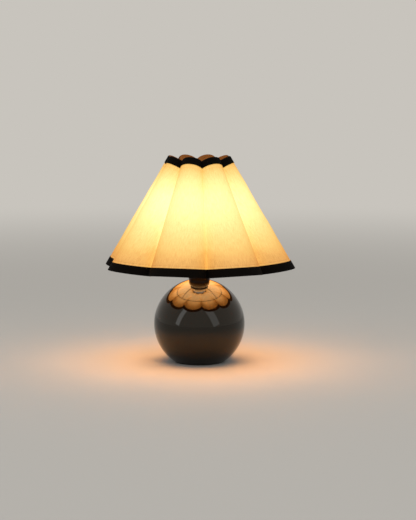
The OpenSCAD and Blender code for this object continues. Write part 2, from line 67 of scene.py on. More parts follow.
# Radii closer than this are the same, in millimetres
SAME = 0.01
# Values between which a noise texture mostly stays
NOISE_LOW = 0.3
NOISE_HIGH = 0.7
# Noise value from which a mottled finish has its main colour
MAIN_COLOUR_FROM = 0.62
# The glossiest that a mottled finish gets
LEAST_ROUGHNESS = 0.02

# Two coordinates of each point, in millimetres, which for a turned form are its radius and its height
Outline = list[tuple[float, float]]
# How far a face stands out at an angle, a radius and a height, in millimetres
Relief = Callable[[float, float, float], float]
# What goes into a node's sockets, by their names or numbers
Inputs = dict[str | int, object]


class Body(Enum):
    """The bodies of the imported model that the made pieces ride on."""

    BASE = "base"
    SHADE = "shade"
    RING = "ring"
    BULB = "bulb"


class Slot(Enum):
    """The record's material slots."""

    FELT = "felt"
    STEEL_PLATE = "steel_plate"
    CAST_IRON = "cast_iron"
    BLACK_GLAZE = "black_glaze"
    BLACK_PLASTIC = "black_plastic"
    ZINC_STEEL = "zinc_steel"
    BRASS = "brass"
    BLOCK_PLASTIC = "block_plastic"
    BLUE_INSULATION = "blue_insulation"
    BROWN_INSULATION = "brown_insulation"
    PORCELAIN = "porcelain"
    OPAL_GLASS = "opal_glass"
    CAP_METAL = "cap_metal"
    SOLDER = "solder"
    BLACK_GLASS = "black_glass"
    WHITE_WIRE = "white_wire"
    SHADE_FABRIC = "shade_fabric"
    BLACK_TAPE = "black_tape"


# Small sums


def mix(a: float, b: float, t: float) -> float:
    """Return the value at share t of the way from a to b."""
    return a + (b - a) * t


def smooth_step(t: float) -> float:
    """Return 0 below t of 0, 1 above t of 1, and a smooth climb between them."""
    t = min(1.0, max(0.0, t))
    return t * t * (3 - 2 * t)


def evenly(a: float, b: float, steps: int) -> list[float]:
    """Return evenly spaced values from a to b, with both of them."""
    return [mix(a, b, i / steps) for i in range(steps + 1)]


def full_turn(steps: int) -> list[float]:
    """Return evenly spaced angles of a full turn, in radians."""
    return [TURN * i / steps for i in range(steps)]


def per_metre(size: float) -> float:
    """Return how many pattern cells of a size in millimetres fit in a metre."""
    return 1 / (size * MM)


@cache
def node_box(node: str) -> tuple[float, float, float]:
    """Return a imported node's lowest height, highest height and outer radius, in millimetres."""
    low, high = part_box(node)
    return low.z / MM, high.z / MM, (high.x - low.x) / 2 / MM


def around(angle: float, r: float, z: float) -> Vector:
    """Return the point in metres at an angle from +X, a radius and a height in millimetres."""
    return Vector((r * math.cos(angle), r * math.sin(angle), z)) * MM


def by_bearing(bearing: float, r: float, z: float) -> Vector:
    """Return the point in metres at a bearing in degrees from the front, a radius and a height."""
    return around(math.radians(bearing - 90), r, z)


# Meshes


def mesh_object(name: str, points: Sequence[Vector], faces: Sequence[tuple[int, ...]]) -> bpy.types.Object:
    """Make an object of points and faces, with its faces turned outwards.

    Args:
        name: The object's name.
        points: The vertices, in metres.
        faces: Vertex numbers of each face.

    Returns:
        The object, linked to the scene.
    """
    mesh = bpy.data.meshes.new(name)
    mesh.from_pydata([tuple(p) for p in points], [], faces)
    turn_outwards(mesh)
    made = bpy.data.objects.new(name, mesh)
    bpy.context.scene.collection.objects.link(made)
    return made


def turn_outwards(mesh: bpy.types.Mesh, weld: float = 0.0) -> None:
    """Turn a closed mesh's faces outwards.

    Args:
        mesh: The mesh.
        weld: Distance in metres under which points are joined first.
    """
    work = bmesh.new()
    work.from_mesh(mesh)
    if weld > 0:
        bmesh.ops.remove_doubles(work, verts=work.verts, dist=weld)
    bmesh.ops.recalc_face_normals(work, faces=work.faces)
    work.to_mesh(mesh)
    work.free()


def skin(name: str, rings: Sequence[Sequence[Vector]], loop: bool = True) -> bpy.types.Object:
    """Stretch a skin of quads over rings of points, each ring closed on itself.

    Args:
        name: The object's name.
        rings: Rings with the same number of points.
        loop: Whether the last ring joins the first. Otherwise both ends are closed by a face.

    Returns:
        The object.
    """
    count = len(rings[0])
    spans = len(rings) if loop else len(rings) - 1
    faces: list[tuple[int, ...]] = []
    for i in range(spans):
        here, there = i * count, (i + 1) % len(rings) * count
        for k in range(count):
            after = (k + 1) % count
            faces.append((here + k, here + after, there + after, there + k))
    if not loop:
        faces.append(tuple(range(count)))
        faces.append(tuple(range((len(rings) - 1) * count, len(rings) * count)))
    return mesh_object(name, [p for ring in rings for p in ring], faces)


def lathe(name: str, outline: Outline, turns: int = 96, relief: Relief | None = None) -> bpy.types.Object:
    """Turn a closed outline round the lamp's axis.

    Args:
        name: The object's name.
        outline: Radius and height of each point, in millimetres.
        turns: Facets in a full turn.
        relief: What stands out from the turned form at an angle, a radius and a height, in millimetres.

    Returns:
        The object.
    """
    rings = []
    for angle in full_turn(turns):
        rings.append([around(angle, r + (relief(angle, r, z) if relief else 0.0), z) for r, z in outline])
    made = skin(name, rings)
    turn_outwards(made.data, weld=1e-6)
    return made


def wire(
    name: str, path: Sequence[Vector], side: Vector, radii: Sequence[float], loop: bool, sides: int = 24
) -> bpy.types.Object:
    """Sweep a round wire along a flat path.

    Args:
        name: The object's name.
        path: The points of the wire's middle line, in metres.
        side: The direction square to the plane of the path.
        radii: The wire's radius at each point, in millimetres.
        loop: Whether the wire closes on itself.
        sides: Facets round the wire.

    Returns:
        The object.
    """
    rings = []
    for i, p in enumerate(path):
        before = path[i - 1] if loop or i > 0 else p
        after = path[(i + 1) % len(path)] if loop or i < len(path) - 1 else p
        out = (after - before).normalized().cross(side)
        spokes = [side * math.cos(a) + out * math.sin(a) for a in full_turn(sides)]
        rings.append([p + spoke * radii[i] * MM for spoke in spokes])
    return skin(name, rings, loop)


def rounded(corners: Sequence[tuple[float, float, float]], steps: int = 6) -> Outline:
    """Round the corners of a closed outline.

    Args:
        corners: Two coordinates and the fillet radius of each corner, in millimetres.
        steps: Facets in each fillet.

    Returns:
        The outline's points, in the corners' order.
    """
    outline: Outline = []
    for i, (x, y, fillet) in enumerate(corners):
        here = Vector((x, y))
        if fillet <= 0:
            outline.append((x, y))
            continue
        before = (Vector(corners[i - 1][:2]) - here).normalized()
        after = (Vector(corners[(i + 1) % len(corners)][:2]) - here).normalized()
        half = before.angle(after) / 2
        middle = here + (before + after).normalized() * fillet / math.sin(half)
        first = here + before * fillet / math.tan(half) - middle
        last = here + after * fillet / math.tan(half) - middle
        for k in range(steps + 1):
            spoke = first.slerp(last, k / steps)  # comes at unit length
            outline.append(tuple(middle + spoke * fillet))
    return outline


def finely(outline: Outline, step: float) -> Outline:
    """Add points to a closed outline.

    Args:
        outline: The outline.
        step: Longest stretch left between two points, in millimetres.

    Returns:
        The outline with its new points.
    """
    made: Outline = []
    for i, (x, y) in enumerate(outline):
        end_x, end_y = outline[(i + 1) % len(outline)]
        count = max(1, math.ceil(math.dist((x, y), (end_x, end_y)) / step))
        made.extend((mix(x, end_x, k / count), mix(y, end_y, k / count)) for k in range(count))
    return made


def drill(piece: bpy.types.Object, start: Vector, axis: Vector, radius: float, depth: float) -> None:
    """Drill a round hole into a piece.

    Args:
        piece: The piece, whose mesh is changed.
        start: Where the drill's tip face begins, in metres.
        axis: The direction that the hole runs in.
        radius: The hole's radius, in millimetres.
        depth: The hole's length along the axis, in millimetres.
    """
    side = axis.orthogonal().normalized()
    along = axis.normalized() * depth * MM
    # A straight wire is a true cylinder
    cutter = wire("drill", [start, start + along], side, [radius, radius], loop=False)
    cut = piece.modifiers.new("drill", "BOOLEAN")
    cut.operation = "DIFFERENCE"
    cut.solver = "EXACT"
    cut.object = cutter
    bpy.context.view_layer.update()
    ready = piece.evaluated_get(bpy.context.evaluated_depsgraph_get())
    mesh = bpy.data.meshes.new_from_object(ready)
    piece.modifiers.remove(cut)
    old = piece.data
    piece.data = mesh
    bpy.data.meshes.remove(old)
    bpy.data.objects.remove(cutter)


def smooth(piece: bpy.types.Object, crease: float = 32.0) -> None:
    """Shade a piece smooth, and sharp where its faces meet at more than an angle in degrees."""
    piece.data.polygons.foreach_set("use_smooth", [True] * len(piece.data.polygons))
    piece.data.set_sharp_from_angle(angle=math.radians(crease))


# Finishes


def linear(code: str) -> tuple[float, float, float, float]:
    """Return an sRGB hex colour as linear red, green, blue and an alpha of 1."""
    parts = [int(code[i : i + 2], 16) / 255 for i in (1, 3, 5)]
    return (*[c / 12.92 if c <= 0.04045 else ((c + 0.055) / 1.055) ** 2.4 for c in parts], 1.0)


def plug(node: bpy.types.Node, inputs: Inputs) -> None:
    """Fill a node's sockets.

    Args:
        node: The node.
        inputs: For each socket a plain value, another node's output, or another node, which stands for its
            first output.
    """
    for name, value in inputs.items():
        if isinstance(value, bpy.types.Node):
            value = value.outputs[0]
        if isinstance(value, bpy.types.NodeSocket):
            node.id_data.links.new(value, node.inputs[name])
        else:
            node.inputs[name].default_value = value


def add_node(
    tree: bpy.types.NodeTree, kind: str, inputs: Inputs | None = None, **settings: object
) -> bpy.types.Node:
    """Add a shader node to a tree.

    Args:
        tree: The tree.
        kind: The node's type name, after the "ShaderNode" that all of them start with.
        inputs: What goes into its sockets, as plug() takes it.
        settings: The node's own settings.

    Returns:
        The node.
    """
    node = tree.nodes.new(f"ShaderNode{kind}")
    for name, value in settings.items():
        setattr(node, name, value)
    plug(node, inputs or {})
    return node


def paint_ramp(ramp: bpy.types.ColorRamp, stops: Sequence[tuple[float, str]]) -> None:
    """Give a colour ramp its stops.

    Args:
        ramp: The ramp.
        stops: The place of each, from 0 to 1, and its colour as an sRGB hex value.
    """
    while len(ramp.elements) < len(stops):
        ramp.elements.new(1.0)
    for element, (place, code) in zip(ramp.elements, stops):
        element.position = place
        element.color = linear(code)


@dataclass(frozen=True)
class Finish:
    """A surface finish with a mottled colour, an uneven gloss and a fine grain.

    Attributes:
        title: The material's name.
        slot: The record's slot for it. It is not used.
        colour: Its main colour, as an sRGB hex value.
        shade: The colour of its darker patches.
        roughness: Its middle roughness.
        spread: How far the roughness strays from that.
        metallic: 1 for a bare metal.
        ior: Its refractive index. A metal keeps the default.
        mirror_tint: Tint of what it mirrors, as an sRGB hex colour.
        patch: Size of its patches, in millimetres.
        grain: Size of its grain, in millimetres.
        depth: Depth of its grain, in millimetres.
        stretch: How the grain is scaled along X, Y and Z: under 1 draws it out.
    """

    title: str
    slot: Slot
    colour: str
    shade: str
    roughness: float
    spread: float = 0.04
    metallic: float = 0.0
    ior: float = 1.5
    mirror_tint: str = "#FFFFFF"
    patch: float = 18.0
    grain: float = 0.8
    depth: float = 0.02
    stretch: tuple[float, float, float] = (1.0, 1.0, 1.0)

    def material(self) -> bpy.types.Material:
        """Make the finish's material, or find it once it is made.

        Returns:
            The material.
        """
        made = bpy.data.materials.get(self.title)
        if made is None:
            made = bpy.data.materials.new(self.title)
            made.use_nodes = True
            shader = made.node_tree.nodes["Principled BSDF"]
            tint = linear(self.mirror_tint)
            plug(shader, {"Metallic": self.metallic, "IOR": self.ior, "Specular Tint": tint})
            self.pattern(made.node_tree, shader)
        return made

    def pattern(self, tree: bpy.types.NodeTree, shader: bpy.types.Node) -> None:
        """Add the finish's colour patches, uneven gloss and grain.

        Args:
            tree: The material's node tree.
            shader: Its Principled shader.
        """
        place = add_node(tree, "TexCoord").outputs["Object"]
        patches = add_node(tree, "TexNoise", {"Vector": place, "Scale": per_metre(self.patch)})
        tint = add_node(tree, "ValToRGB", {"Fac": patches})
        paint_ramp(tint.color_ramp, [(NOISE_LOW, self.shade), (MAIN_COLOUR_FROM, self.colour)])
        span = {"Value": patches, "From Min": NOISE_LOW, "From Max": NOISE_HIGH}
        least = max(LEAST_ROUGHNESS, self.roughness - self.spread)
        gloss = add_node(tree, "MapRange", {**span, "To Min": least, "To Max": self.roughness + self.spread})
        drawn = add_node(tree, "VectorMath", {0: place, 1: self.stretch}, operation="MULTIPLY")
        grain = add_node(tree, "TexNoise", {"Vector": drawn, "Scale": per_metre(self.grain), "Detail": 4.0})
        bump = add_node(tree, "Bump", {"Height": grain, "Distance": self.depth * MM, "Strength": 1.0})
        plug(shader, {"Base Color": tint, "Roughness": gloss, "Normal": bump})


@dataclass(frozen=True)
class Glow:
    """The light that reaches the fabric from the bulb, worked out point by point.

    Attributes:
        centre: The point that the light seems to come from, in millimetres.
        reach: Distance at which light falling straight on the fabric counts as 1, in millimetres.
        fade_z: Height above which the open top and its dark binding take light away.
        fade_h: Climb above that height over which they would take top_loss of it.
        top_loss: Share of the light that they take.
        bulb_r: Radius of the globe, which sets how soft a shadow is.
        most_shadow: Largest share of the light that a wire's shadow takes, because the lit shade fills it.
        spill: Share of the light that the lit inside of the shade throws back on the fabric at any slant.
        crease_w: Width of the band along a valley, in millimetres, where the light through the cloth is
            painted brighter, as if the cloth there faced the bulb.
        crease_turn: How far that painted light goes towards facing the bulb in the band's middle at the lower
            edge, from 0 to 1.
    """

    centre: tuple[float, float, float] = (-2.9, 0.0, 206.0)
    reach: float = 80.0
    fade_z: float = 191.4
    fade_h: float = 87.0
    top_loss: float = 0.68
    bulb_r: float = 30.0
    most_shadow: float = 0.18
    spill: float = 0.381
    crease_w: float = 6.0
    crease_turn: float = 0.5

    def strength(self, point: Vector, normal: Vector, fold: float) -> tuple[float, float]:
        """Return the light at a point of the fabric.

        Args:
            point: The point, in millimetres.
            normal: The fabric's outward normal there.
            fold: 1 in the middle of the fold at a valley, and 0 away from it.

        Returns:
            The light that the fabric lets through and the light that falls on its inside, where 1 is what
            falls straight on it at the reach.
        """
        ray = point - Vector(self.centre)
        slant = max(0.0, ray.normalized().dot(normal))
        # Painted highlight: along a valley's fold the slant is raised towards full, as if the cloth faced the
        # bulb
        turned = mix(slant, 1.0, self.crease_turn * fold)
        loss = self.top_loss * (max(0.0, point.z - self.fade_z) / self.fade_h) ** 2
        full = (self.reach / ray.length) ** 2 * (1 - loss)
        return mix(self.spill, 1.0, turned) * full, slant * full

    def ring_shadow(self, point: Vector, ring_r: float, ring_z: float, wire_r: float) -> tuple[float, float]:
        """Return a wire ring's shadow at a point on the fabric.

        Args:
            point: The point, in millimetres.
            ring_r: Radius of the ring's middle line.
            ring_z: Its height.
            wire_r: Radius of its wire.

        Returns:
            How far the point lies from the middle of the shadow, in half widths of it, and the share of the
            light that the middle loses.
        """
        bulb = Vector((0, self.centre[2]))
        ring = Vector((ring_r, ring_z))
        here = Vector((math.hypot(point.x, point.y), point.z))
        to_ring, to_here = ring - bulb, here - bulb
        gap = (here - ring).length
        off = (math.atan2(to_here.y, to_here.x) - math.atan2(to_ring.y, to_ring.x)) * to_ring.length
        half_width = wire_r + self.bulb_r * gap / to_here.length
        depth = wire_r * to_here.length / (self.bulb_r * max(gap, 1.0))
        return off / half_width, min(self.most_shadow, depth)


# The light that stands at the end of the cloth's ramps, where 1 is what falls straight on it at the reach
LIGHT_SPAN = 1.25


@dataclass(frozen=True)
class LinenLaminate(Finish):
    """Slubbed linen laminated on clear film, lit from behind.

    The cloth's own place on the petal, in millimetres, comes from the mesh attribute "cloth", the light that
    reaches it from the attribute "glow", and the distance from its nearest edge from the attribute "hem".

    Attributes:
        streak: Width and length of the slubs that show against the light, in millimetres.
        thread: Spacing of the threads. Real linen has one every half millimetre, and it is drawn at twice
            that to show.
        unevenness: Share of the light that the slubs add or take.
        speck_loss: Share of the light that the thickest specks take.
        hem: Distance from the nearest edge, in millimetres, at which a thin dark line is painted into the
            light that comes through the cloth.
        edge_band_gain: How much brighter that painted light is between the line and the edge.
        edge_line_loss: Share of the light that the painted dark line takes.
        edge_line_span: How far inside and outside that distance the painted line starts to darken and to let
            go.
        strength: How strongly the lit side shines.
        film: Tint of the laminate's film, which deepens where the cloth turns away and its path gets longer.
        film_roughness: How dull the film is.
        film_ior: Its refractive index towards the cloth, which hides nearly all of its gloss.
        stops: Shares of LIGHT_SPAN, and the colour that each gives the cloth.
    """

    streak: tuple[float, float] = (1.3, 9.0)
    thread: float = 1.0
    unevenness: float = 0.105
    speck_loss: float = 0.12
    hem: float = 15.0
    edge_band_gain: float = 1.06
    edge_line_loss: float = 0.08
    edge_line_span: tuple[float, float] = (1.2, 0.2)
    strength: float = 1.0
    film: str = "#FFFFFF"
    film_roughness: float = 0.8
    film_ior: float = 1.05
    stops: tuple[tuple[float, str], ...] = ()

    def pattern(self, tree: bpy.types.NodeTree, shader: bpy.types.Node) -> None:
        """Add the weave, the slubs and the light that comes through.

        Args:
            tree: The material's node tree.
            shader: Its Principled shader.
        """
        cloth = add_node(tree, "Attribute", attribute_name="cloth").outputs["Vector"]
        glow = add_node(tree, "Attribute", attribute_name="glow").outputs["Vector"]
        edge = add_node(tree, "Attribute", attribute_name="hem").outputs["Fac"]
        light = add_node(tree, "SeparateXYZ", {"Vector": glow}).outputs
        width, length = self.streak
        scales = (1 / width, 1 / length, 1.0)
        drawn = add_node(tree, "VectorMath", {0: cloth, 1: scales}, operation="MULTIPLY")
        slubs = add_node(tree, "TexNoise", {"Vector": drawn, "Scale": 1.0, "Detail": 3.0, "Roughness": 0.6})
        specks = add_node(tree, "TexNoise", {"Vector": cloth, "Scale": 1 / width, "Detail": 2.0})
        # The shadow of the wire ring fades from its middle line as a bell curve
        square = add_node(tree, "Math", {0: light["Y"], 1: light["Y"]}, operation="MULTIPLY")
        bell = add_node(tree, "Math", {0: math.exp(-1), 1: square}, operation="POWER")
        dark = add_node(tree, "Math", {0: bell, 1: light["Z"]}, operation="MULTIPLY")
        lit = add_node(tree, "Math", {0: 1.0, 1: dark}, operation="SUBTRACT")
        share = add_node(tree, "Math", {0: light["X"], 1: lit}, operation="MULTIPLY")
        thin, thick = (1 - self.unevenness) / LIGHT_SPAN, (1 + self.unevenness) / LIGHT_SPAN
        # Painted light: brighter towards the edge, then a thin dark line that darkens over a millimetre and
        # lets go over another
        fold = 1 - self.edge_line_loss
        dark_line_in, dark_line_out = self.hem - self.edge_line_span[0], self.hem + self.edge_line_span[1]
        for value, start, end, before, after in (
            (slubs, NOISE_LOW, NOISE_HIGH, thin, thick),
            (specks, NOISE_LOW, 0.5, 1 - self.speck_loss, 1.0),
            (edge, dark_line_in, dark_line_in + 1, self.edge_band_gain, fold),
            (edge, dark_line_out, dark_line_out + 1, 1.0, 1 / fold),
        ):
            span = {"Value": value, "From Min": start, "From Max": end, "To Min": before, "To Max": after}
            part = add_node(tree, "MapRange", span)
            share = add_node(tree, "Math", {0: share, 1: part}, operation="MULTIPLY")
        shine = add_node(tree, "ValToRGB", {"Fac": share})
        paint_ramp(shine.color_ramp, self.stops)
        tint = add_node(tree, "ValToRGB", {"Fac": slubs})
        paint_ramp(tint.color_ramp, [(NOISE_LOW, self.shade), (NOISE_HIGH, self.colour)])
        turns = add_node(tree, "VectorMath", {0: cloth, "Scale": TURN / self.thread}, operation="SCALE")
        axes = add_node(tree, "SeparateXYZ", {"Vector": turns}).outputs
        warp = add_node(tree, "Math", {0: axes["X"]}, operation="SINE")
        weft = add_node(tree, "Math", {0: axes["Y"]}, operation="SINE")
        weave = add_node(tree, "Math", {0: warp, 1: weft}, operation="MAXIMUM")
        height = add_node(tree, "Math", {0: weave, 1: slubs}, operation="ADD")
        bump = add_node(tree, "Bump", {"Height": height, "Distance": self.depth * MM, "Strength": 1.0})
        plug(shader, {"Coat Weight": 1.0, "Coat Roughness": self.film_roughness, "Coat IOR": self.film_ior})
        plug(shader, {"Coat Tint": linear(self.film), "Roughness": self.roughness, "Base Color": tint})
        plug(shader, {"Emission Strength": self.strength, "Emission Color": shine, "Normal": bump})


@dataclass(frozen=True)
class RibbedTape(Finish):
    """Grosgrain tape, whose weft ribs run across its width.

    The tape's own length, its width and the distance out from the fabric, in millimetres, come from the mesh
    attribute "tape".

    Attributes:
        rib: Spacing of the ribs. The real ones are 0.8 mm apart, and these are half as wide again to show.
        specular: How strongly its dull face reflects.
        lit: Painted light on the face towards the bulb, a brown glow.
        dim_lit: Painted light of the darker fibres on that face.
        fibres: Noise values between which the fibres go from their dark to their main colour.
        lit_from: Noise value from which a fibre has the lit colour.
        fold: Distances out from the fabric between which the painted light fades in, round the fold at the
            edge,
        onto the face towards the bulb.
    """

    rib: float = 1.2
    specular: float = 0.05
    lit: str = "#844E22"
    dim_lit: str = "#552F12"
    fibres: tuple[float, float] = (0.35, 0.65)
    lit_from: float = 0.6
    fold: tuple[float, float] = (0.1, -1.0)

    def pattern(self, tree: bpy.types.NodeTree, shader: bpy.types.Node) -> None:
        """Add the ribs, the threads across them, and the bulb's light painted on the face towards it.

        Args:
            tree: The material's node tree.
            shader: Its Principled shader.
        """
        tape = add_node(tree, "Attribute", attribute_name="tape").outputs["Vector"]
        turns = add_node(tree, "VectorMath", {0: tape, "Scale": TURN / self.rib}, operation="SCALE")
        along = add_node(tree, "SeparateXYZ", {"Vector": turns}).outputs["X"]
        ribs = add_node(tree, "Math", {0: along}, operation="SINE")
        fine = {"Scale": 2 / self.rib, "Detail": 3.0, "Roughness": 0.7}
        fibres = add_node(tree, "TexNoise", {"Vector": tape, **fine})
        tint = add_node(tree, "ValToRGB", {"Fac": fibres})
        paint_ramp(tint.color_ramp, [(self.fibres[0], self.shade), (self.fibres[1], self.colour)])
        height = add_node(tree, "Math", {0: ribs, 1: fibres}, operation="ADD")
        bump = add_node(tree, "Bump", {"Height": height, "Distance": self.depth * MM, "Strength": 1.0})
        # The face towards the bulb gets the bulb's light painted on as emission
        out = add_node(tree, "SeparateXYZ", {"Vector": tape}).outputs["Z"]
        span = {"Value": out, "From Min": self.fold[0], "From Max": self.fold[1]}
        inside = add_node(tree, "MapRange", span, interpolation_type="SMOOTHSTEP")
        glow = add_node(tree, "ValToRGB", {"Fac": fibres})
        paint_ramp(glow.color_ramp, [(NOISE_LOW, self.dim_lit), (self.lit_from, self.lit)])
        shine = add_node(tree, "VectorMath", {0: glow, "Scale": inside}, operation="SCALE")
        plug(shader, {"Base Color": tint, "Roughness": self.roughness, "Specular IOR Level": self.specular})
        plug(shader, {"Emission Strength": 1.0, "Emission Color": shine, "Normal": bump})


@dataclass(frozen=True)
class OpalGlass(Finish):
    """Opal glass, lit from inside, a little dimmer towards its neck.

    Attributes:
        light: The light's colour over the globe.
        neck_light: Its colour at the neck.
        strength: How strongly the globe shines.
        neck_z: Height of the neck, in millimetres.
        full_z: Height from which the globe shines fully.
    """

    light: str = "#FFE2AA"
    neck_light: str = "#C98F4A"
    strength: float = 18.0
    neck_z: float = 172.0
    full_z: float = 200.0

    def pattern(self, tree: bpy.types.NodeTree, shader: bpy.types.Node) -> None:
        """Add the glass's faint clouds and its light.

        Args:
            tree: The material's node tree.
            shader: Its Principled shader.
        """
        place = add_node(tree, "TexCoord").outputs["Object"]
        up = add_node(tree, "SeparateXYZ", {"Vector": place}).outputs["Z"]
        span = {"Value": up, "From Min": self.neck_z * MM, "From Max": self.full_z * MM}
        climb = add_node(tree, "MapRange", span, interpolation_type="SMOOTHSTEP")
        shine = add_node(tree, "ValToRGB", {"Fac": climb})
        paint_ramp(shine.color_ramp, [(0.0, self.neck_light), (1.0, self.light)])
        clouds = add_node(tree, "TexNoise", {"Vector": place, "Scale": per_metre(self.patch)})
        tint = add_node(tree, "ValToRGB", {"Fac": clouds})
        paint_ramp(tint.color_ramp, [(NOISE_LOW, self.shade), (NOISE_HIGH, self.colour)])
        plug(shader, {"Roughness": self.roughness, "Emission Strength": self.strength})
        plug(shader, {"Base Color": tint, "Emission Color": shine})


# Stoneware with a nearly black gloss glaze: mirror-like, with the faint orange peel of a sprayed glaze
BLACK_GLAZE = Finish(
    "black_gloss_glaze", Slot.BLACK_GLAZE, "#060403", "#050303", 0.04, 0.02, mirror_tint="#FFF7E7", patch=30,
    grain=9, depth=0.008,
)
# Pressed wool felt: dull, with a nap of loose fibres
WOOL_FELT = Finish("pressed_wool_felt", Slot.FELT, "#2E2824", "#1B1714", 0.95, grain=0.6, depth=0.25, patch=5)
# Moulded phenolic resin: dark brown-black with a soft gloss
PHENOLIC = Finish("moulded_phenolic", Slot.BLACK_PLASTIC, "#0F0905", "#0B0603", 0.15, ior=1.6, grain=1.5)
# Soft PVC: a dull black with a fine moulded grain
SOFT_PVC = Finish("soft_black_pvc", Slot.BLACK_PLASTIC, "#17151A", "#0D0C0E", 0.5, grain=0.5, depth=0.03)
# Zinc plated sheet steel: grey, with the spangle of the plating
PLATED_SHEET = Finish(
    "zinc_plated_sheet", Slot.STEEL_PLATE, "#A9ADB0", "#8F9497", 0.38, 0.08, metallic=1.0, patch=6, grain=0.4
)
# Cast iron, as it leaves the sand: nearly black, with coarse grit
CAST_IRON = Finish(
    "sand_cast_iron", Slot.CAST_IRON, "#5A5B5E", "#3C3C3F", 0.62, 0.08, metallic=1.0, grain=0.9, depth=0.2
)
# Zinc plated turned steel: drawn fine by the lathe
TURNED_ZINC = Finish(
    "zinc_plated_turned_steel", Slot.ZINC_STEEL, "#C6C3B8", "#A8A498", 0.3, 0.06, metallic=1.0, grain=0.3,
    stretch=(0.1, 0.1, 1.0),
)
# Rolled brass strip: bright, with faint rolling lines
ROLLED_BRASS = Finish(
    "rolled_brass", Slot.BRASS, "#D6B164", "#B98F45", 0.24, 0.06, metallic=1.0, grain=0.35,
    stretch=(1.0, 1.0, 0.1),
)
# Moulded polyamide: translucent-looking off white
POLYAMIDE = Finish("moulded_polyamide", Slot.BLOCK_PLASTIC, "#E6E2D6", "#D8D3C4", 0.42, grain=0.7)
# Extruded PVC insulation: smooth, with a soft gloss, blue on one lead and brown on the other
BLUE_PVC = Finish("blue_pvc_insulation", Slot.BLUE_INSULATION, "#2F63AE", "#25528F", 0.4, grain=0.6)
BROWN_PVC = Finish("brown_pvc_insulation", Slot.BROWN_INSULATION, "#6E4327", "#57331C", 0.4, grain=0.6)
# Unglazed porcelain: chalky white
PORCELAIN = Finish("unglazed_porcelain", Slot.PORCELAIN, "#ECE7DC", "#DED8CA", 0.6, grain=0.5, depth=0.04)
# Rolled aluminium sheet of a bulb's cap: bright and slightly worn
CAP_SHEET = Finish(
    "rolled_aluminium_cap", Slot.CAP_METAL, "#C9CAC8", "#AEB0AE", 0.28, 0.08, metallic=1.0, grain=0.5
)
# Solder: soft grey metal with a puddled surface
SOLDER = Finish(
    "solder_tip", Slot.SOLDER, "#B4AC9A", "#948C7C", 0.36, metallic=1.0, patch=2, grain=1.6, depth=0.08
)
# Black glass fused into the cap: a moulded gloss, a little uneven
FUSED_GLASS = Finish(
    "fused_black_glass", Slot.BLACK_GLASS, "#141217", "#0A090B", 0.12, 0.03, ior=1.55, grain=2.0
)
# Epoxy coated wire: off white, with the ripple of baked powder
COATED_WIRE = Finish("epoxy_coated_wire", Slot.WHITE_WIRE, "#E9E3D5", "#DDD5C4", 0.35, grain=1.0, depth=0.03)
# Slubbed linen laminate: warm, and brighter where more of the bulb's light comes through
LINEN = LinenLaminate(
    "slubbed_linen_laminate", Slot.SHADE_FABRIC, "#B3986B", "#A98D60", 0.85, depth=0.05, strength=LIGHT_SPAN,
    film="#F9EFE5",
    stops=(
        (0.000, "#000000"),
        (0.093, "#633500"),
        (0.156, "#AC7A2D"),
        (0.194, "#BE9244"),
        (0.236, "#C4A353"),
        (0.327, "#CFBA6E"),
        (0.430, "#D4CE85"),
        (0.546, "#E7E199"),
        (0.786, "#FFFABC"),
    ),
)
# The clear film on the inside of the laminate, which takes the bulb's full light
LINING = LinenLaminate(
    "lit_laminate_lining", Slot.SHADE_FABRIC, "#BFA06E", "#B29260", 0.45, depth=0.02, strength=8.0,
    unevenness=0.05,
    stops=(
        (0.00, "#0A0401"),
        (0.05, "#4A260C"),
        (0.10, "#86501E"),
        (0.17, "#BE7C3A"),
        (0.28, "#F5B065"),
        (0.45, "#FFC27C"),
        (0.90, "#FFD79C"),
    ),
)
# Black grosgrain tape: dull ribs that barely catch the light
TAPE = RibbedTape("black_grosgrain_tape", Slot.BLACK_TAPE, "#0B0704", "#070402", 0.85, depth=0.08)
# Blown opal glass of a lit bulb: an even milky glow, deeper in colour at the neck
OPAL = OpalGlass("opal_glass", Slot.OPAL_GLASS, "#FFF4DC", "#FFEFD0", 0.18)


def fit(piece: bpy.types.Object, body: Body, finish: Finish, *nodes: str) -> None:
    """Put a made piece in its place on the lamp.

    Args:
        piece: The piece, in place in the frame.
        body: The body that it moves with.
        finish: Its finish, unless it already has its materials.
        nodes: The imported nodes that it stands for.
    """
    if not piece.data.materials:
        piece.data.materials.append(finish.material())
    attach(piece, body.value)
    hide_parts(*nodes)
    log.info("%s: %d faces, on %s, %s", piece.name, len(piece.data.polygons), body.value, finish.title)


def dress(finish: Finish, *nodes: str) -> None:
    """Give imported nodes, whose shapes are right as they are, their finish.

    Args:
        finish: The finish.
        nodes: The nodes' names.
    """
    for node in nodes:
        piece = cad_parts[node]
        piece.data.materials.clear()
        piece.data.materials.append(finish.material())
        log.info("%s: packed solid, %s", node, finish.title)


@dataclass(frozen=True)
class Thread:
    """A round thread, right-handed like a bulb's.

    Attributes:
        pitch: Climb in a full turn, in millimetres.
        depth: How far the crests stand out and the roots go in from the middle.
        low: Height at which the thread starts.
        high: Height at which it ends.
        run_out: Climb over which it fades at each end.
    """

    pitch: float
    depth: float
    low: float
    high: float
    run_out: float = 2.0

    def height(self, angle: float, z: float) -> float:
        """Return how far the thread stands out at an angle and a height."""
        fade = smooth_step((z - self.low) / self.run_out) * smooth_step((self.high - z) / self.run_out)
        return self.depth * fade * math.cos(TURN * z / self.pitch - angle)

    def stand(self, angle: float, r: float, z: float) -> float:
        """Return the same at any radius, as lathe() takes a relief."""
        return self.height(angle, z)

    def run(self, r: float, low: float, high: float) -> Outline:
        """Return an upright stretch of outline with 12 points to a turn, to show the thread."""
        return [(r, z) for z in evenly(low, high, max(2, round(12 * (high - low) / self.pitch)))]


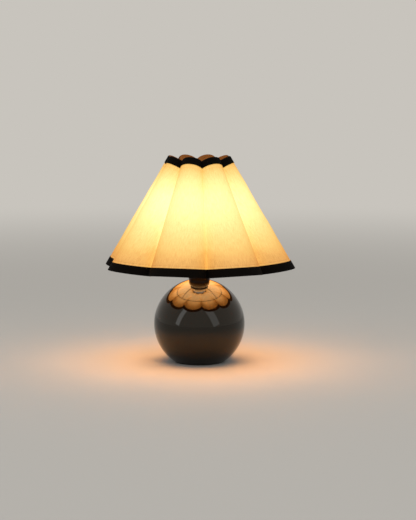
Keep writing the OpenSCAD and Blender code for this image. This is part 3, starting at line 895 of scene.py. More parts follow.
@dataclass(frozen=True)
class BallBase:
    """The ball with its felt pad and the bush of its cable inlet.

    Attributes:
        foot_r: Radius of the ground foot.
        wall: Thickness of the ball's wall.
        tube_hole_r: Radius of the hole that the tube rises through.
        web_t: Thickness of the floor web.
        gap: Gap round what sits inside the ball.
        edge: Radius on the glazed edges.
        inlet_angle: Angle of the inlet below the level of the ball's centre, in degrees.
        inlet_hole_r: Radius of the inlet's hole.
        inlet_flat_r: Radius of the flat that the bush's flange seats on.
        bush_bore_r: Radius of the bush's bore.
        bush_r: Radius of its barrel.
        flange_r: Radius of its flange.
        flange_t: Thickness of its flange.
        lip_r: Radius of its inner lip.
        lip_t: Thickness of its inner lip.
        bore_edges: Radius on the inner and the outer edge of its bore.
        lip_edge: Radius on its inner lip.
        flange_edge: Radius on its flange.
        pad_edges: Radius on the lower and the upper edge of the felt pad.
        nap_w: Size of the felt's tufts.
        nap_t: How far the felt's rim is drawn in between them.
    """

    foot_r: float = 36.7
    wall: float = 5.0
    tube_hole_r: float = 5.3
    web_t: float = 4.0
    gap: float = 0.3
    edge: float = 0.6
    inlet_angle: float = 30.0
    inlet_hole_r: float = 5.1
    inlet_flat_r: float = 7.8
    bush_bore_r: float = 3.3
    bush_r: float = 5.0
    flange_r: float = 7.5
    flange_t: float = 1.8
    lip_r: float = 6.4
    lip_t: float = 1.5
    bore_edges: tuple[float, float] = (0.3, 0.5)
    lip_edge: float = 0.7
    flange_edge: float = 0.9
    pad_edges: tuple[float, float] = (0.3, 0.5)
    nap_w: float = 1.5
    nap_t: float = 0.12

    @property
    def ball_r(self) -> float:
        """Return the ball's radius."""
        return node_box("ball_shell")[2]

    @property
    def centre_z(self) -> float:
        """Return the height of the ball's centre, which its foot circle sets."""
        return node_box("ball_shell")[0] + math.sqrt(self.ball_r**2 - self.foot_r**2)

    def inlet_axis(self) -> Vector:
        """Return the direction in which the inlet leaves the ball, low at the back."""
        tilt = math.radians(self.inlet_angle)
        return Vector((0, math.cos(tilt), -math.sin(tilt)))

    def arc(self, r: float, first: float, last: float, steps: int) -> Outline:
        """Return an arc about the ball's centre, between two heights.

        Args:
            r: The arc's radius.
            first: Height of its first point.
            last: Height of its last point.
            steps: Its facets.

        Returns:
            The arc's points.
        """
        start, end = (math.asin((z - self.centre_z) / r) for z in (first, last))
        return [(r * math.cos(a), self.centre_z + r * math.sin(a)) for a in evenly(start, end, steps)]

    def ball(self) -> bpy.types.Object:
        """Make the hollow ball, with radial shading normals so that it mirrors without a facet.

        Returns:
            The ball.
        """
        foot_z, top_z, ball_r = node_box("ball_shell")
        _, web_z, plate_r = node_box("base_plate")
        hole_r = node_box("ballast")[2] + self.gap
        recess_r = plate_r + self.gap
        inner_r = ball_r - self.wall
        inner_top = self.centre_z + math.sqrt(inner_r**2 - self.tube_hole_r**2)
        flat_r = math.sqrt(ball_r**2 - (top_z - self.centre_z) ** 2)
        outline = [
            (self.foot_r - self.edge, foot_z),
            *self.arc(ball_r, foot_z + self.edge, top_z - self.edge / 4, steps=150),
            (flat_r - self.edge, top_z),
            (self.tube_hole_r, top_z),
            *self.arc(inner_r, inner_top, web_z + self.web_t, steps=60),
            (hole_r, web_z + self.web_t),
            (hole_r, web_z),
            (recess_r, web_z),
            (recess_r, foot_z),
        ]
        made = lathe("ball_glazed", outline, turns=180)
        axis = self.inlet_axis()
        centre = Vector((0, 0, self.centre_z)) * MM
        seat = math.sqrt(ball_r**2 - self.inlet_flat_r**2)
        drill(made, centre + axis * seat * MM, axis, self.inlet_flat_r, 2 * self.flange_t)
        drill(made, centre + axis * ball_r / 2 * MM, axis, self.inlet_hole_r, ball_r)
        smooth(made)
        self.true_normals(made, centre, ball_r * MM)
        return made

    def true_normals(self, made: bpy.types.Object, centre: Vector, radius: float) -> None:
        """Point the shading normals of the outer skin straight out from the ball's centre.

        Args:
            made: The ball.
            centre: Its centre, in metres.
            radius: Its radius, in metres.
        """
        mesh = made.data
        near = [abs((v.co - centre).length - radius) < 1e-6 for v in mesh.vertices]
        normals = [corner.vector.copy() for corner in mesh.corner_normals]
        for face in mesh.polygons:
            if all(near[v] for v in face.vertices):
                for corner in face.loop_indices:
                    point = mesh.vertices[mesh.loops[corner].vertex_index].co
                    normals[corner] = (point - centre).normalized()
        mesh.normals_split_custom_set(normals)

    def bush(self) -> bpy.types.Object:
        """Make the bush, which is turned about the inlet's own axis.

        Returns:
            The bush.
        """
        seat = math.sqrt(self.ball_r**2 - self.inlet_flat_r**2)
        inner_seat = math.sqrt((self.ball_r - self.wall) ** 2 - self.lip_r**2)
        lip_seat = inner_seat - (self.inlet_hole_r - self.bush_r)
        outline = rounded(
            [
                (self.bush_bore_r, lip_seat - self.lip_t, self.bore_edges[0]),
                (self.lip_r, lip_seat - self.lip_t, self.lip_edge),
                (self.lip_r, lip_seat, 0.0),
                (self.bush_r, lip_seat, 0.0),
                (self.bush_r, seat, 0.0),
                (self.flange_r, seat, 0.0),
                (self.flange_r, seat + self.flange_t, self.flange_edge),
                (self.bush_bore_r, seat + self.flange_t, self.bore_edges[1]),
            ]
        )
        made = lathe("cable_bush_moulded", outline, turns=64)
        made.data.transform(self.inlet_axis().to_track_quat("Z", "Y").to_matrix().to_4x4())
        made.data.transform(Matrix.Translation((0, 0, self.centre_z * MM)))
        smooth(made)
        return made

    def pad(self) -> bpy.types.Object:
        """Make the felt pad, with a soft upper rim and a nap.

        Returns:
            The pad.
        """
        low, high, r = node_box("felt_pad")
        low_edge, high_edge = self.pad_edges
        rim = rounded([(0.0, low, 0.0), (r, low, low_edge), (r, high, high_edge), (0.0, high, 0.0)], steps=4)
        steps = 20
        rings = [r * i / steps for i in range(steps)]
        outline = [*[(x, low) for x in rings], *rim[1:-1], *[(x, high) for x in reversed(rings)]]
        made = lathe("felt_pad_pressed", outline, turns=120, relief=self.nap)
        smooth(made, crease=60)
        return made

    def nap(self, angle: float, r: float, z: float) -> float:
        """Return how far the felt's rim is drawn in by loose fibres at a point."""
        tuft = noise.noise(around(angle, r, z) * per_metre(self.nap_w))
        return -self.nap_t * (1 + tuft) if r > self.foot_r / 2 else 0.0

    def build(self) -> None:
        """Make and fit the pieces of the base."""
        fit(self.ball(), Body.BASE, BLACK_GLAZE, "ball_shell")
        fit(self.bush(), Body.BASE, SOFT_PVC, "cable_bush")
        fit(self.pad(), Body.BASE, WOOL_FELT, "felt_pad")
        dress(PLATED_SHEET, "base_plate")
        dress(CAST_IRON, "ballast")
        dress(TURNED_ZINC, "threaded_tube", "tube_nuts", "tube_washers")
        dress(POLYAMIDE, "terminal_block")
        dress(ROLLED_BRASS, "block_screws")
        dress(BLUE_PVC, "lead_left")
        dress(BROWN_PVC, "lead_right")


@dataclass(frozen=True)
class Lampholder:
    """The dome, the threaded skirt and the brass screw shell, with what they hold.

    Attributes:
        foot_r: Radius of the dome where it stands on the ball.
        foot_edge: Radius on the dome's lower edge.
        wall: Wall of the dome and the skirt.
        spigot_h: Height of the spigot that the skirt screws over.
        spigot_wall: Wall of the spigot.
        collar_h: Height of the collar that the tube screws into.
        collar_wall: Wall of that collar.
        bore_r: Radius of the collar's bore.
        flange_up: Height of the shade flange above the skirt's foot.
        flange_t: Thickness of the shade flange.
        flange_out: How far it stands out past the skirt.
        ledge_in: How far the skirt's ledge stands over the porcelain.
        grub_r: Radius of the hole for the grub screw.
        brass_t: Thickness of the screw shell's sheet.
        shell_foot_w: Width of the shell's foot inside.
        foot_round: Radius on the skirt's foot and on the lower rim of its flange.
        flange_round: Radius under the flange and on its upper rim.
        thread_depth: Half the depth of the skirt's thread.
        thread_gap: Gap from the thread's ends to the flange and to the top.
        thread_edge: Chamfer at the top of that thread.
        lip_edge: Chamfer on the skirt's inner lip.
    """

    foot_r: float = 14.4
    foot_edge: float = 0.25
    wall: float = 2.2
    spigot_h: float = 4.0
    spigot_wall: float = 2.0
    collar_h: float = 12.0
    collar_wall: float = 2.9
    bore_r: float = 5.1
    flange_up: float = 18.0
    flange_t: float = 2.5
    flange_out: float = 1.75
    ledge_in: float = 1.5
    grub_r: float = 1.6
    brass_t: float = 0.5
    shell_foot_w: float = 2.1
    foot_round: float = 0.5
    flange_round: float = 0.4
    thread_depth: float = 0.35
    thread_gap: float = 1.0
    thread_edge: float = 0.6
    lip_edge: float = 0.4

    def dome(self) -> bpy.types.Object:
        """Make the dome, which swells as a quarter of a sine wave and has the grub screw's hole.

        Returns:
            The dome.
        """
        low, top, r = node_box("holder_dome")
        high = top - self.spigot_h
        height = high - low
        spigot_r = r - self.wall - PLAY
        inner_r = spigot_r - self.spigot_wall
        collar_r = self.bore_r + self.collar_wall
        edge = self.foot_edge
        steps, edge_steps = 40, 5
        inner_z = reversed(evenly(self.wall, height, steps))

        def swell(z: float) -> float:
            """Return the dome's outer radius at a height above its foot."""
            return mix(self.foot_r, r, math.sin(math.pi / 2 * z / height))

        edge_turns = [math.pi / 2 * i / edge_steps for i in range(edge_steps)]
        outline = [
            *[(swell(edge) - edge * (1 - math.sin(a)), low + edge * (1 - math.cos(a))) for a in edge_turns],
            *[(swell(z), low + z) for z in evenly(edge, height, steps)],
            (spigot_r, high),
            (spigot_r, top),
            (inner_r, top),
            *[(min(swell(z) - self.wall, inner_r), low + z) for z in inner_z],
            (collar_r, low + self.wall),
            (collar_r, low + self.collar_h),
            (self.bore_r, low + self.collar_h),
            (self.bore_r, low),
        ]
        made = lathe("holder_dome_moulded", outline, turns=120)
        start = Vector((0, self.bore_r - 1, low + self.collar_h / 2)) * MM
        drill(made, start, Vector((0, 1, 0)), self.grub_r, depth=r)
        smooth(made)
        return made

    def skirt(self) -> bpy.types.Object:
        """Make the skirt with its shade flange and its outside thread.

        Returns:
            The skirt.
        """
        low, high, flange_r = node_box("holder_skirt")
        r = flange_r - self.flange_out
        inner_r = r - self.wall
        flange_z = low + self.flange_up
        over_z = flange_z + self.flange_t
        ledge_z = node_box("holder_insert")[1] + PLAY
        lip_r = inner_r - self.ledge_in
        start, end = over_z + self.thread_gap, high - self.thread_gap
        thread = Thread(HOLDER_PITCH, self.thread_depth, start, end, HOLDER_RUN_OUT)
        thread_r = r - thread.depth
        wall = [
            (inner_r, low, 0.0),
            (r, low, self.foot_round),
            (r, flange_z, self.flange_round),
            (flange_r, flange_z, self.foot_round),
            (flange_r, over_z, self.flange_round),
            (inner_r, over_z, 0.0),
        ]
        outline = [
            *rounded(wall)[:-1],
            *thread.run(thread_r, over_z, high - self.thread_edge),
            (thread_r - self.thread_edge, high),
            (lip_r + self.lip_edge, high),
            (lip_r, high - self.lip_edge),
            (lip_r, ledge_z),
            (inner_r, ledge_z),
        ]

        def relief(angle: float, at_r: float, z: float) -> float:
            """Return the thread's relief, on the face that carries it."""
            return thread.height(angle, z) if abs(at_r - thread_r) < SAME else 0.0

        made = lathe("holder_skirt_threaded", outline, turns=144, relief=relief)
        smooth(made)
        return made

    def shell(self, thread: Thread, middle: float) -> bpy.types.Object:
        """Make the brass screw shell.

        Args:
            thread: The bulb's thread, which the shell follows.
            middle: Middle radius of the shell's inner face.

        Returns:
            The shell.
        """
        low, high, _ = node_box("screw_shell")
        foot_r, foot_z = middle - self.shell_foot_w, low + self.brass_t
        outline = [
            (foot_r, low),
            (middle + self.brass_t, low),
            *thread.run(middle + self.brass_t, foot_z, high),
            *reversed(thread.run(middle, foot_z, high)),
            (foot_r, foot_z),
        ]
        made = lathe("screw_shell_rolled", outline, relief=thread.stand)
        smooth(made)
        return made

    def build(self, thread: Thread, shell_middle: float) -> None:
        """Make and fit the pieces of the lampholder.

        Args:
            thread: The bulb's thread.
            shell_middle: Middle radius of the screw shell's inner face.
        """
        fit(self.dome(), Body.BASE, PHENOLIC, "holder_dome")
        fit(self.skirt(), Body.BASE, PHENOLIC, "holder_skirt")
        fit(self.shell(thread, shell_middle), Body.BASE, ROLLED_BRASS, "screw_shell")
        dress(TURNED_ZINC, "grub_screw", "terminal_screws")
        dress(PORCELAIN, "holder_insert")
        dress(ROLLED_BRASS, "centre_contact", "side_terminals")


@dataclass(frozen=True)
class RetainingRing:
    """The ribbed ring that clamps the shade on the skirt.

    Attributes:
        bore_r: Radius of its bore.
        wall: Wall of its collar.
        foot_t: Thickness of its broad foot.
        edge: Radius on the foot's lower edge and on the collar's upper one.
        foot_edge: Radius on the foot's upper edge.
        mouth_edge: Radius inside the collar's mouth.
        edge_room: How far under the top the collar's straight wall ends.
        chamfer: How much wider than the bore its two mouths are, and how high the lower one is.
        thread_in: How far the middle of the thread lies outside the bore.
        thread_depth: Half the depth of that thread.
        thread_top: How far under the top it ends.
        ribs: Grip ribs round the collar.
        rib_h: How far a rib stands out.
        rib_shape: Power that shapes its crest, which is blunter the lower it is.
        rib_foot: Climb over which the ribs rise out of the collar at its foot.
        rib_head: Climb over which they sink into it at the top.
        rib_gap: How far under the top they end.
    """

    bore_r: float = 20.05
    wall: float = 3.0
    foot_t: float = 3.0
    edge: float = 0.7
    foot_edge: float = 0.8
    mouth_edge: float = 0.4
    edge_room: float = 0.75
    chamfer: float = 0.5
    thread_in: float = 0.3
    thread_depth: float = 0.25
    thread_top: float = 0.8
    ribs: int = 18
    rib_h: float = 1.15
    rib_shape: float = 0.7
    rib_foot: float = 0.8
    rib_head: float = 1.5
    rib_gap: float = 0.9

    def build(self) -> None:
        """Make and fit the ring."""
        low, high, foot_r = node_box("retaining_ring")
        collar_r = self.bore_r + self.wall
        mouth_r = self.bore_r + self.chamfer
        thread_r = self.bore_r + self.thread_in
        foot_z = low + self.foot_t
        thread = Thread(HOLDER_PITCH, self.thread_depth, low, high, HOLDER_RUN_OUT)
        foot = [
            (collar_r, low, 0.0),
            (foot_r, low, self.edge),
            (foot_r, foot_z, self.foot_edge),
            (collar_r, foot_z, 0.0),
        ]
        top = [
            (collar_r, foot_z, 0.0),
            (collar_r, high, self.edge),
            (mouth_r, high, self.mouth_edge),
            (mouth_r, low, 0.0),
        ]
        outline = [
            (mouth_r, low),
            *rounded(foot)[1:-1],
            *[(collar_r, z) for z in evenly(foot_z, high - self.edge_room, steps=20)],
            *rounded(top)[1:-1],
            *reversed(thread.run(thread_r, low + self.chamfer, high - self.thread_top)),
        ]

        def relief(angle: float, r: float, z: float) -> float:
            """Return the thread's relief in the bore, and the ribs' on the collar.

            Args:
                angle: The angle from +X, in radians.
                r: The radius before the relief.
                z: The height.

            Returns:
                How far the face stands out.
            """
            if abs(r - thread_r) < SAME:
                return thread.height(angle, z)
            if abs(r - collar_r) > SAME:
                return 0.0
            crest = max(0.0, math.cos(self.ribs * angle)) ** self.rib_shape
            foot_fade = smooth_step((z - foot_z) / self.rib_foot)
            return self.rib_h * crest * (foot_fade * smooth_step((high - self.rib_gap - z) / self.rib_head))

        made = lathe("retaining_ring_ribbed", outline, turns=self.ribs * 16, relief=relief)
        smooth(made, crease=40)
        fit(made, Body.RING, PHENOLIC, "retaining_ring")


@dataclass(frozen=True)
class Bulb:
    """The bulb: a screw cap with its insulator and tip, and an opal globe.

    Attributes:
        glass_t: Thickness of the glass.
        neck_len: Length of the neck above the cap.
        sheet_t: Thickness of the cap's sheet.
        pitch: Pitch of the screw cap.
        thread_depth: Half the depth of its thread.
        thread_top: How far under the cap's rim the thread ends.
        shell_ends: How far inside the shell's lower and upper end its thread lies.
        shell_gap: Gap between the cap's thread and the shell's.
        cap_foot: How far the cap draws in, and rises, under its thread.
    """

    glass_t: float = 0.9
    neck_len: float = 6.0
    sheet_t: float = 0.3
    pitch: float = 3.629
    thread_depth: float = 0.45
    thread_top: float = 2.0
    shell_ends: tuple[float, float] = (1.0, 0.5)
    shell_gap: float = 0.3
    cap_foot: float = 0.6

    def thread(self) -> Thread:
        """Return the thread of the screw cap."""
        low, high, _ = node_box("bulb_cap")
        return Thread(self.pitch, self.thread_depth, low, high - self.thread_top)

    def shell_thread(self) -> Thread:
        """Return the thread of the shell that the cap screws into, in step with the cap's."""
        low, high, _ = node_box("screw_shell")
        return Thread(self.pitch, self.thread_depth, low + self.shell_ends[0], high - self.shell_ends[1])

    def cap_middle(self) -> float:
        """Return the middle radius of the cap's thread."""
        return node_box("bulb_cap")[2] - self.thread_depth

    def shell_middle(self) -> float:
        """Return the middle radius of the shell's inner face."""
        return self.cap_middle() + self.shell_gap

    def cap(self) -> bpy.types.Object:
        """Make the rolled screw cap.

        Returns:
            The cap.
        """
        low, high, _ = node_box("bulb_cap")
        middle = self.cap_middle()
        inner = middle - self.sheet_t
        thread = self.thread()
        thread_z = low + self.cap_foot
        outline = [
            (inner - self.cap_foot, low),
            *thread.run(middle, thread_z, high),
            *reversed(thread.run(inner, thread_z, high)),
        ]
        made = lathe("bulb_cap_rolled", outline, relief=thread.stand)
        smooth(made)
        return made

    def globe(self) -> bpy.types.Object:
        """Make the globe, whose neck runs into it on a hollow curve tangent to both.

        Returns:
            The globe.
        """
        low, high, globe_r = node_box("bulb_globe")
        cap_top = node_box("bulb_cap")[1]
        neck_r = self.cap_middle() - self.sheet_t - self.thread_depth - PLAY
        neck_z = cap_top + self.neck_len
        centre_z = high - globe_r
        flare_r = ((centre_z - neck_z) ** 2 + neck_r**2 - globe_r**2) / (2 * (globe_r - neck_r))
        flare_angle = math.acos((neck_r + flare_r) / (globe_r + flare_r))

        def line(inside: float) -> Outline:
            """Return one face of the glass, from the neck's foot to the crown.

            Args:
                inside: How deep it lies inside the outer face.

            Returns:
                The face's outline.
            """
            points = [(neck_r - inside, low)]
            r = flare_r + inside
            for a in evenly(0.0, flare_angle, steps=24):
                points.append((neck_r + flare_r - r * math.cos(a), neck_z + r * math.sin(a)))
            r = globe_r - inside
            for a in evenly(-flare_angle, math.pi / 2, steps=60)[1:]:
                points.append((max(0.0, r * math.cos(a)), centre_z + r * math.sin(a)))
            return points

        made = lathe("bulb_globe_blown", [*line(0.0), *reversed(line(self.glass_t))], turns=120)
        smooth(made)
        return made

    def build(self) -> None:
        """Make and fit the pieces of the bulb."""
        fit(self.globe(), Body.BULB, OPAL, "bulb_globe")
        fit(self.cap(), Body.BULB, CAP_SHEET, "bulb_cap")
        dress(FUSED_GLASS, "bulb_insulator")
        dress(SOLDER, "bulb_tip")


@dataclass(frozen=True)
class Edge:
    """One lobed edge of the shade.

    Attributes:
        valley_r: Distance of a valley from the axis.
        depth_share: Depth of a petal, as a share of half its width.
        z: Height of the edge at a valley.
        arch: How far it arches up at the middle of a petal.
    """

    valley_r: float
    depth_share: float
    z: float
    arch: float

    def point(self, u: float, d: float, half: float) -> Vector:
        """Return a point of the edge on a petal that faces the front.

        Args:
            u: Place across the petal, from -1 to 1.
            d: Distance out from the fabric's outer face.
            half: Half the angle that a petal takes, in radians.

        Returns:
            The point, in millimetres.
        """
        half_width = self.valley_r * math.sin(half)
        rise = self.depth_share * half_width
        arc_r = (half_width**2 + rise**2) / (2 * rise)
        centre = self.valley_r * math.cos(half) + rise - arc_r
        r = arc_r + d
        reach = centre * math.cos(half) + math.sqrt(r**2 - (centre * math.sin(half)) ** 2)
        end = math.atan2(reach * math.sin(half), reach * math.cos(half) - centre)
        a = u * end
        lift = self.arch * (math.cos(a) - math.cos(end)) / (1 - math.cos(end))
        return Vector((r * math.sin(a), -centre - r * math.cos(a), self.z + lift))


@dataclass(frozen=True)
class PetalCover:
    """The cover of the shade: its petals and the bindings on its two edges.

    Attributes:
        petals: Number of petals.
        bearing: Bearing of the valley nearest the front, in degrees.
        low: The lower edge.
        high: The upper edge.
        fabric_t: Thickness of the laminated fabric.
        tape_t: Thickness of the binding tape.
        tape_bend: Radius of the tape's fold.
        tape_edge: Radius on its edges.
        seat_gap: Gap between tape and fabric.
        low_tape_w: Width of the binding on the lower edge.
        high_tape_w: Width of the binding on the upper edge.
        ripple: How far the cloth strays from the ruled form.
        ripple_w: Size of those strays.
        bow: How much wider a petal is along its curve than straight across.
        cloth_step: How far apart in the cloth's pattern the petals are cut.
        across: Facets across a petal.
        up: Facets up a petal.
        glow: The light that reaches the cover.
    """

    petals: int = 8
    bearing: float = 5.5
    low: Edge = Edge(valley_r=103.5, depth_share=1.0, z=129.7, arch=5.5)
    high: Edge = Edge(valley_r=36.3, depth_share=0.75, z=280.7, arch=6.2)
    fabric_t: float = 0.8
    tape_t: float = 0.6
    tape_bend: float = 1.0
    tape_edge: float = 0.25
    seat_gap: float = 0.1
    low_tape_w: float = 12.0
    high_tape_w: float = 10.0
    ripple: float = 0.6
    ripple_w: float = 22.0
    bow: float = 1.4
    cloth_step: float = 40.0
    across: int = 48
    up: int = 64
    glow: Glow = Glow()

    @property
    def half(self) -> float:
        """Return half the angle that a petal takes, in radians."""
        return math.pi / self.petals

    def point(self, number: int, u: float, s: float, d: float) -> Vector:
        """Return a point of a petal's surface.

        Args:
            number: The petal, from 1.
            u: Place across it, from -1 to 1.
            s: Place up it, from 0 to 1.
            d: Distance out from its outer face.

        Returns:
            The point, in millimetres.
        """
        here = self.low.point(u, d, self.half).lerp(self.high.point(u, d, self.half), s)
        turn = math.radians(self.bearing) + (2 * number - 1) * self.half
        here.rotate(Matrix.Rotation(turn, 3, "Z"))
        return here

    def normal(self, number: int, u: float, s: float) -> Vector:
        """Return the outward normal of a petal's surface.

        Args:
            number: The petal, from 1.
            u: Place across it, from -1 to 1.
            s: Place up it, from 0 to 1.

        Returns:
            The normal, as a unit vector.
        """
        step = 1e-3
        sideways = self.point(number, u + step, s, 0) - self.point(number, u - step, s, 0)
        upwards = self.point(number, u, s + step, 0) - self.point(number, u, s - step, 0)
        return sideways.cross(upwards).normalized()

    def length(self, u: float) -> float:
        """Return the length of the line up a petal at a place across it."""
        return (self.high.point(u, 0, self.half) - self.low.point(u, 0, self.half)).length

    def petal(self, number: int) -> bpy.types.Object:
        """Make one petal of laminated cloth.

        Args:
            number: The petal, from 1.

        Returns:
            The petal, with its "cloth", "glow" and "hem" attributes.
        """
        outer: list[Vector] = []
        inner: list[Vector] = []
        cloth: list[tuple[float, float, float]] = []
        light: list[tuple[float, float, float]] = []
        lining: list[tuple[float, float, float]] = []
        hem: list[float] = []
        low_z, high_z, ring_out = node_box("lower_wire_ring")
        wire_r = (high_z - low_z) / 2
        for u in evenly(-1, 1, self.across):
            line = self.length(u)
            for s in evenly(0, 1, self.up):
                here = self.point(number, u, s, 0)
                out = self.normal(number, u, s)
                slack = (1 - u**4) * math.sin(math.pi * s)
                stray = self.ripple * slack * noise.noise(here / self.ripple_w)
                outer.append((here + out * stray) * MM)
                inner.append((self.point(number, u, s, -self.fabric_t) + out * stray) * MM)
                width = mix(self.low.valley_r, self.high.valley_r, s) * math.sin(self.half) * self.bow
                cloth.append((u * width, s * line, number * self.cloth_step))
                off, depth = self.glow.ring_shadow(here, ring_out - wire_r, (low_z + high_z) / 2, wire_r)
                # Along each valley the light through the cloth is painted brighter, most at the lower edge
                fold = (1 - s) * smooth_step(1 - (1 - abs(u)) * width / self.glow.crease_w)
                through, inside = self.glow.strength(here, out, fold)
                light.append((through, off, depth))
                lining.append((inside, off, depth))
                hem.append(min(s, 1 - s) * line)
        made = self.slab(f"petal_{number}_cloth", outer, inner)
        for name, values in (("cloth", cloth + cloth), ("glow", light + lining)):
            attribute = made.data.attributes.new(name, "FLOAT_VECTOR", "POINT")
            attribute.data.foreach_set("vector", [c for value in values for c in value])
        made.data.attributes.new("hem", "FLOAT", "POINT").data.foreach_set("value", hem + hem)
        smooth(made)
        return made

    def slab(self, name: str, outer: Sequence[Vector], inner: Sequence[Vector]) -> bpy.types.Object:
        """Join two grids of points to a sheet with a thickness.

        Args:
            name: The sheet's name.
            outer: The points of its outer face, column by column.
            inner: The points of its inner face, in the same order.

        Returns:
            The sheet, with the cloth outside and the lining inside.
        """
        rows = self.up + 1
        shift = len(outer)
        faces: list[tuple[int, ...]] = []
        kinds: list[int] = []
        for j in range(self.across):
            for i in range(self.up):
                a = j * rows + i
                quad = (a, a + rows, a + rows + 1, a + 1)
                faces.append(quad)
                faces.append(tuple(v + shift for v in reversed(quad)))
                kinds.extend((0, 1))
        rim = [j * rows for j in range(self.across + 1)]
        rim += [self.across * rows + i for i in range(1, rows)]
        rim += [j * rows + self.up for j in range(self.across - 1, -1, -1)]
        rim += [i for i in range(self.up - 1, 0, -1)]
        for k, a in enumerate(rim):
            b = rim[(k + 1) % len(rim)]
            faces.append((a, a + shift, b + shift, b))
            kinds.append(0)
        made = mesh_object(name, [*outer, *inner], faces)
        made.data.materials.append(LINEN.material())
        made.data.materials.append(LINING.material())
        made.data.polygons.foreach_set("material_index", kinds)
        return made

    def binding(self, name: str, width: float, at_top: bool) -> bpy.types.Object:
        """Make the tape folded over an edge of the cover.

        Args:
            name: The binding's name.
            width: Width of the tape on each face.
            at_top: Whether it binds the upper edge.

        Returns:
            The binding, with its "tape" attribute.
        """
        out = self.seat_gap + self.tape_t
        back = -self.fabric_t - self.seat_gap
        bend, edge = self.tape_bend, self.tape_edge
        section = rounded(
            [
                (-out, out, bend),
                (width, out, edge),
                (width, self.seat_gap, edge),
                (-self.seat_gap, self.seat_gap, 0.0),
                (-self.seat_gap, back, 0.0),
                (width, back, edge),
                (width, back - self.tape_t, edge),
                (-out, back - self.tape_t, bend),
            ]
        )
        section = finely(section, step=1.0)
        rings = []
        places = []
        travelled = 0.0
        last = None
        for k in range(self.petals):
            for u in evenly(-1, 1, self.across)[:-1]:
                line = self.length(u)
                ring = []
                for t, d in section:
                    s = 1 - t / line if at_top else t / line
                    ring.append(self.point(k + 1, u, s, d) * MM)
                if last is not None:
                    travelled += (ring[0] - last).length / MM
                last = ring[0]
                rings.append(ring)
                places.append(travelled)
        full = travelled + (rings[0][0] - last).length / MM
        made = skin(name, rings)
        self.mark_tape(made.data, section, places, full)
        smooth(made, crease=50)
        return made

    def mark_tape(self, mesh: bpy.types.Mesh, section: Outline, places: Sequence[float], full: float) -> None:
        """Write how far along and across the tape each corner of the mesh lies.

        Args:
            mesh: The binding's mesh.
            section: Its cross-section.
            places: How far along the tape each ring lies, in millimetres.
            full: The tape's full length.
        """
        count = len(section)
        attribute = mesh.attributes.new("tape", "FLOAT_VECTOR", "CORNER")
        values = [0.0] * (3 * len(mesh.loops))
        for face in mesh.polygons:
            rings = [v // count for v in face.vertices]
            closes = max(rings) - min(rings) > 1
            for corner, vertex, ring in zip(face.loop_indices, face.vertices, rings):
                along = full if closes and ring == 0 else places[ring]
                values[3 * corner : 3 * corner + 3] = (along, *section[vertex % count])
        attribute.data.foreach_set("vector", values)

    def build(self) -> None:
        """Make and fit the petals and the bindings."""
        for number in range(1, self.petals + 1):
            fit(self.petal(number), Body.SHADE, LINEN, f"petal_{number}")
        lower = self.binding("lower_binding_tape", self.low_tape_w, at_top=False)
        fit(lower, Body.SHADE, TAPE, "lower_binding")
        upper = self.binding("upper_binding_tape", self.high_tape_w, at_top=True)
        fit(upper, Body.SHADE, TAPE, "upper_binding")


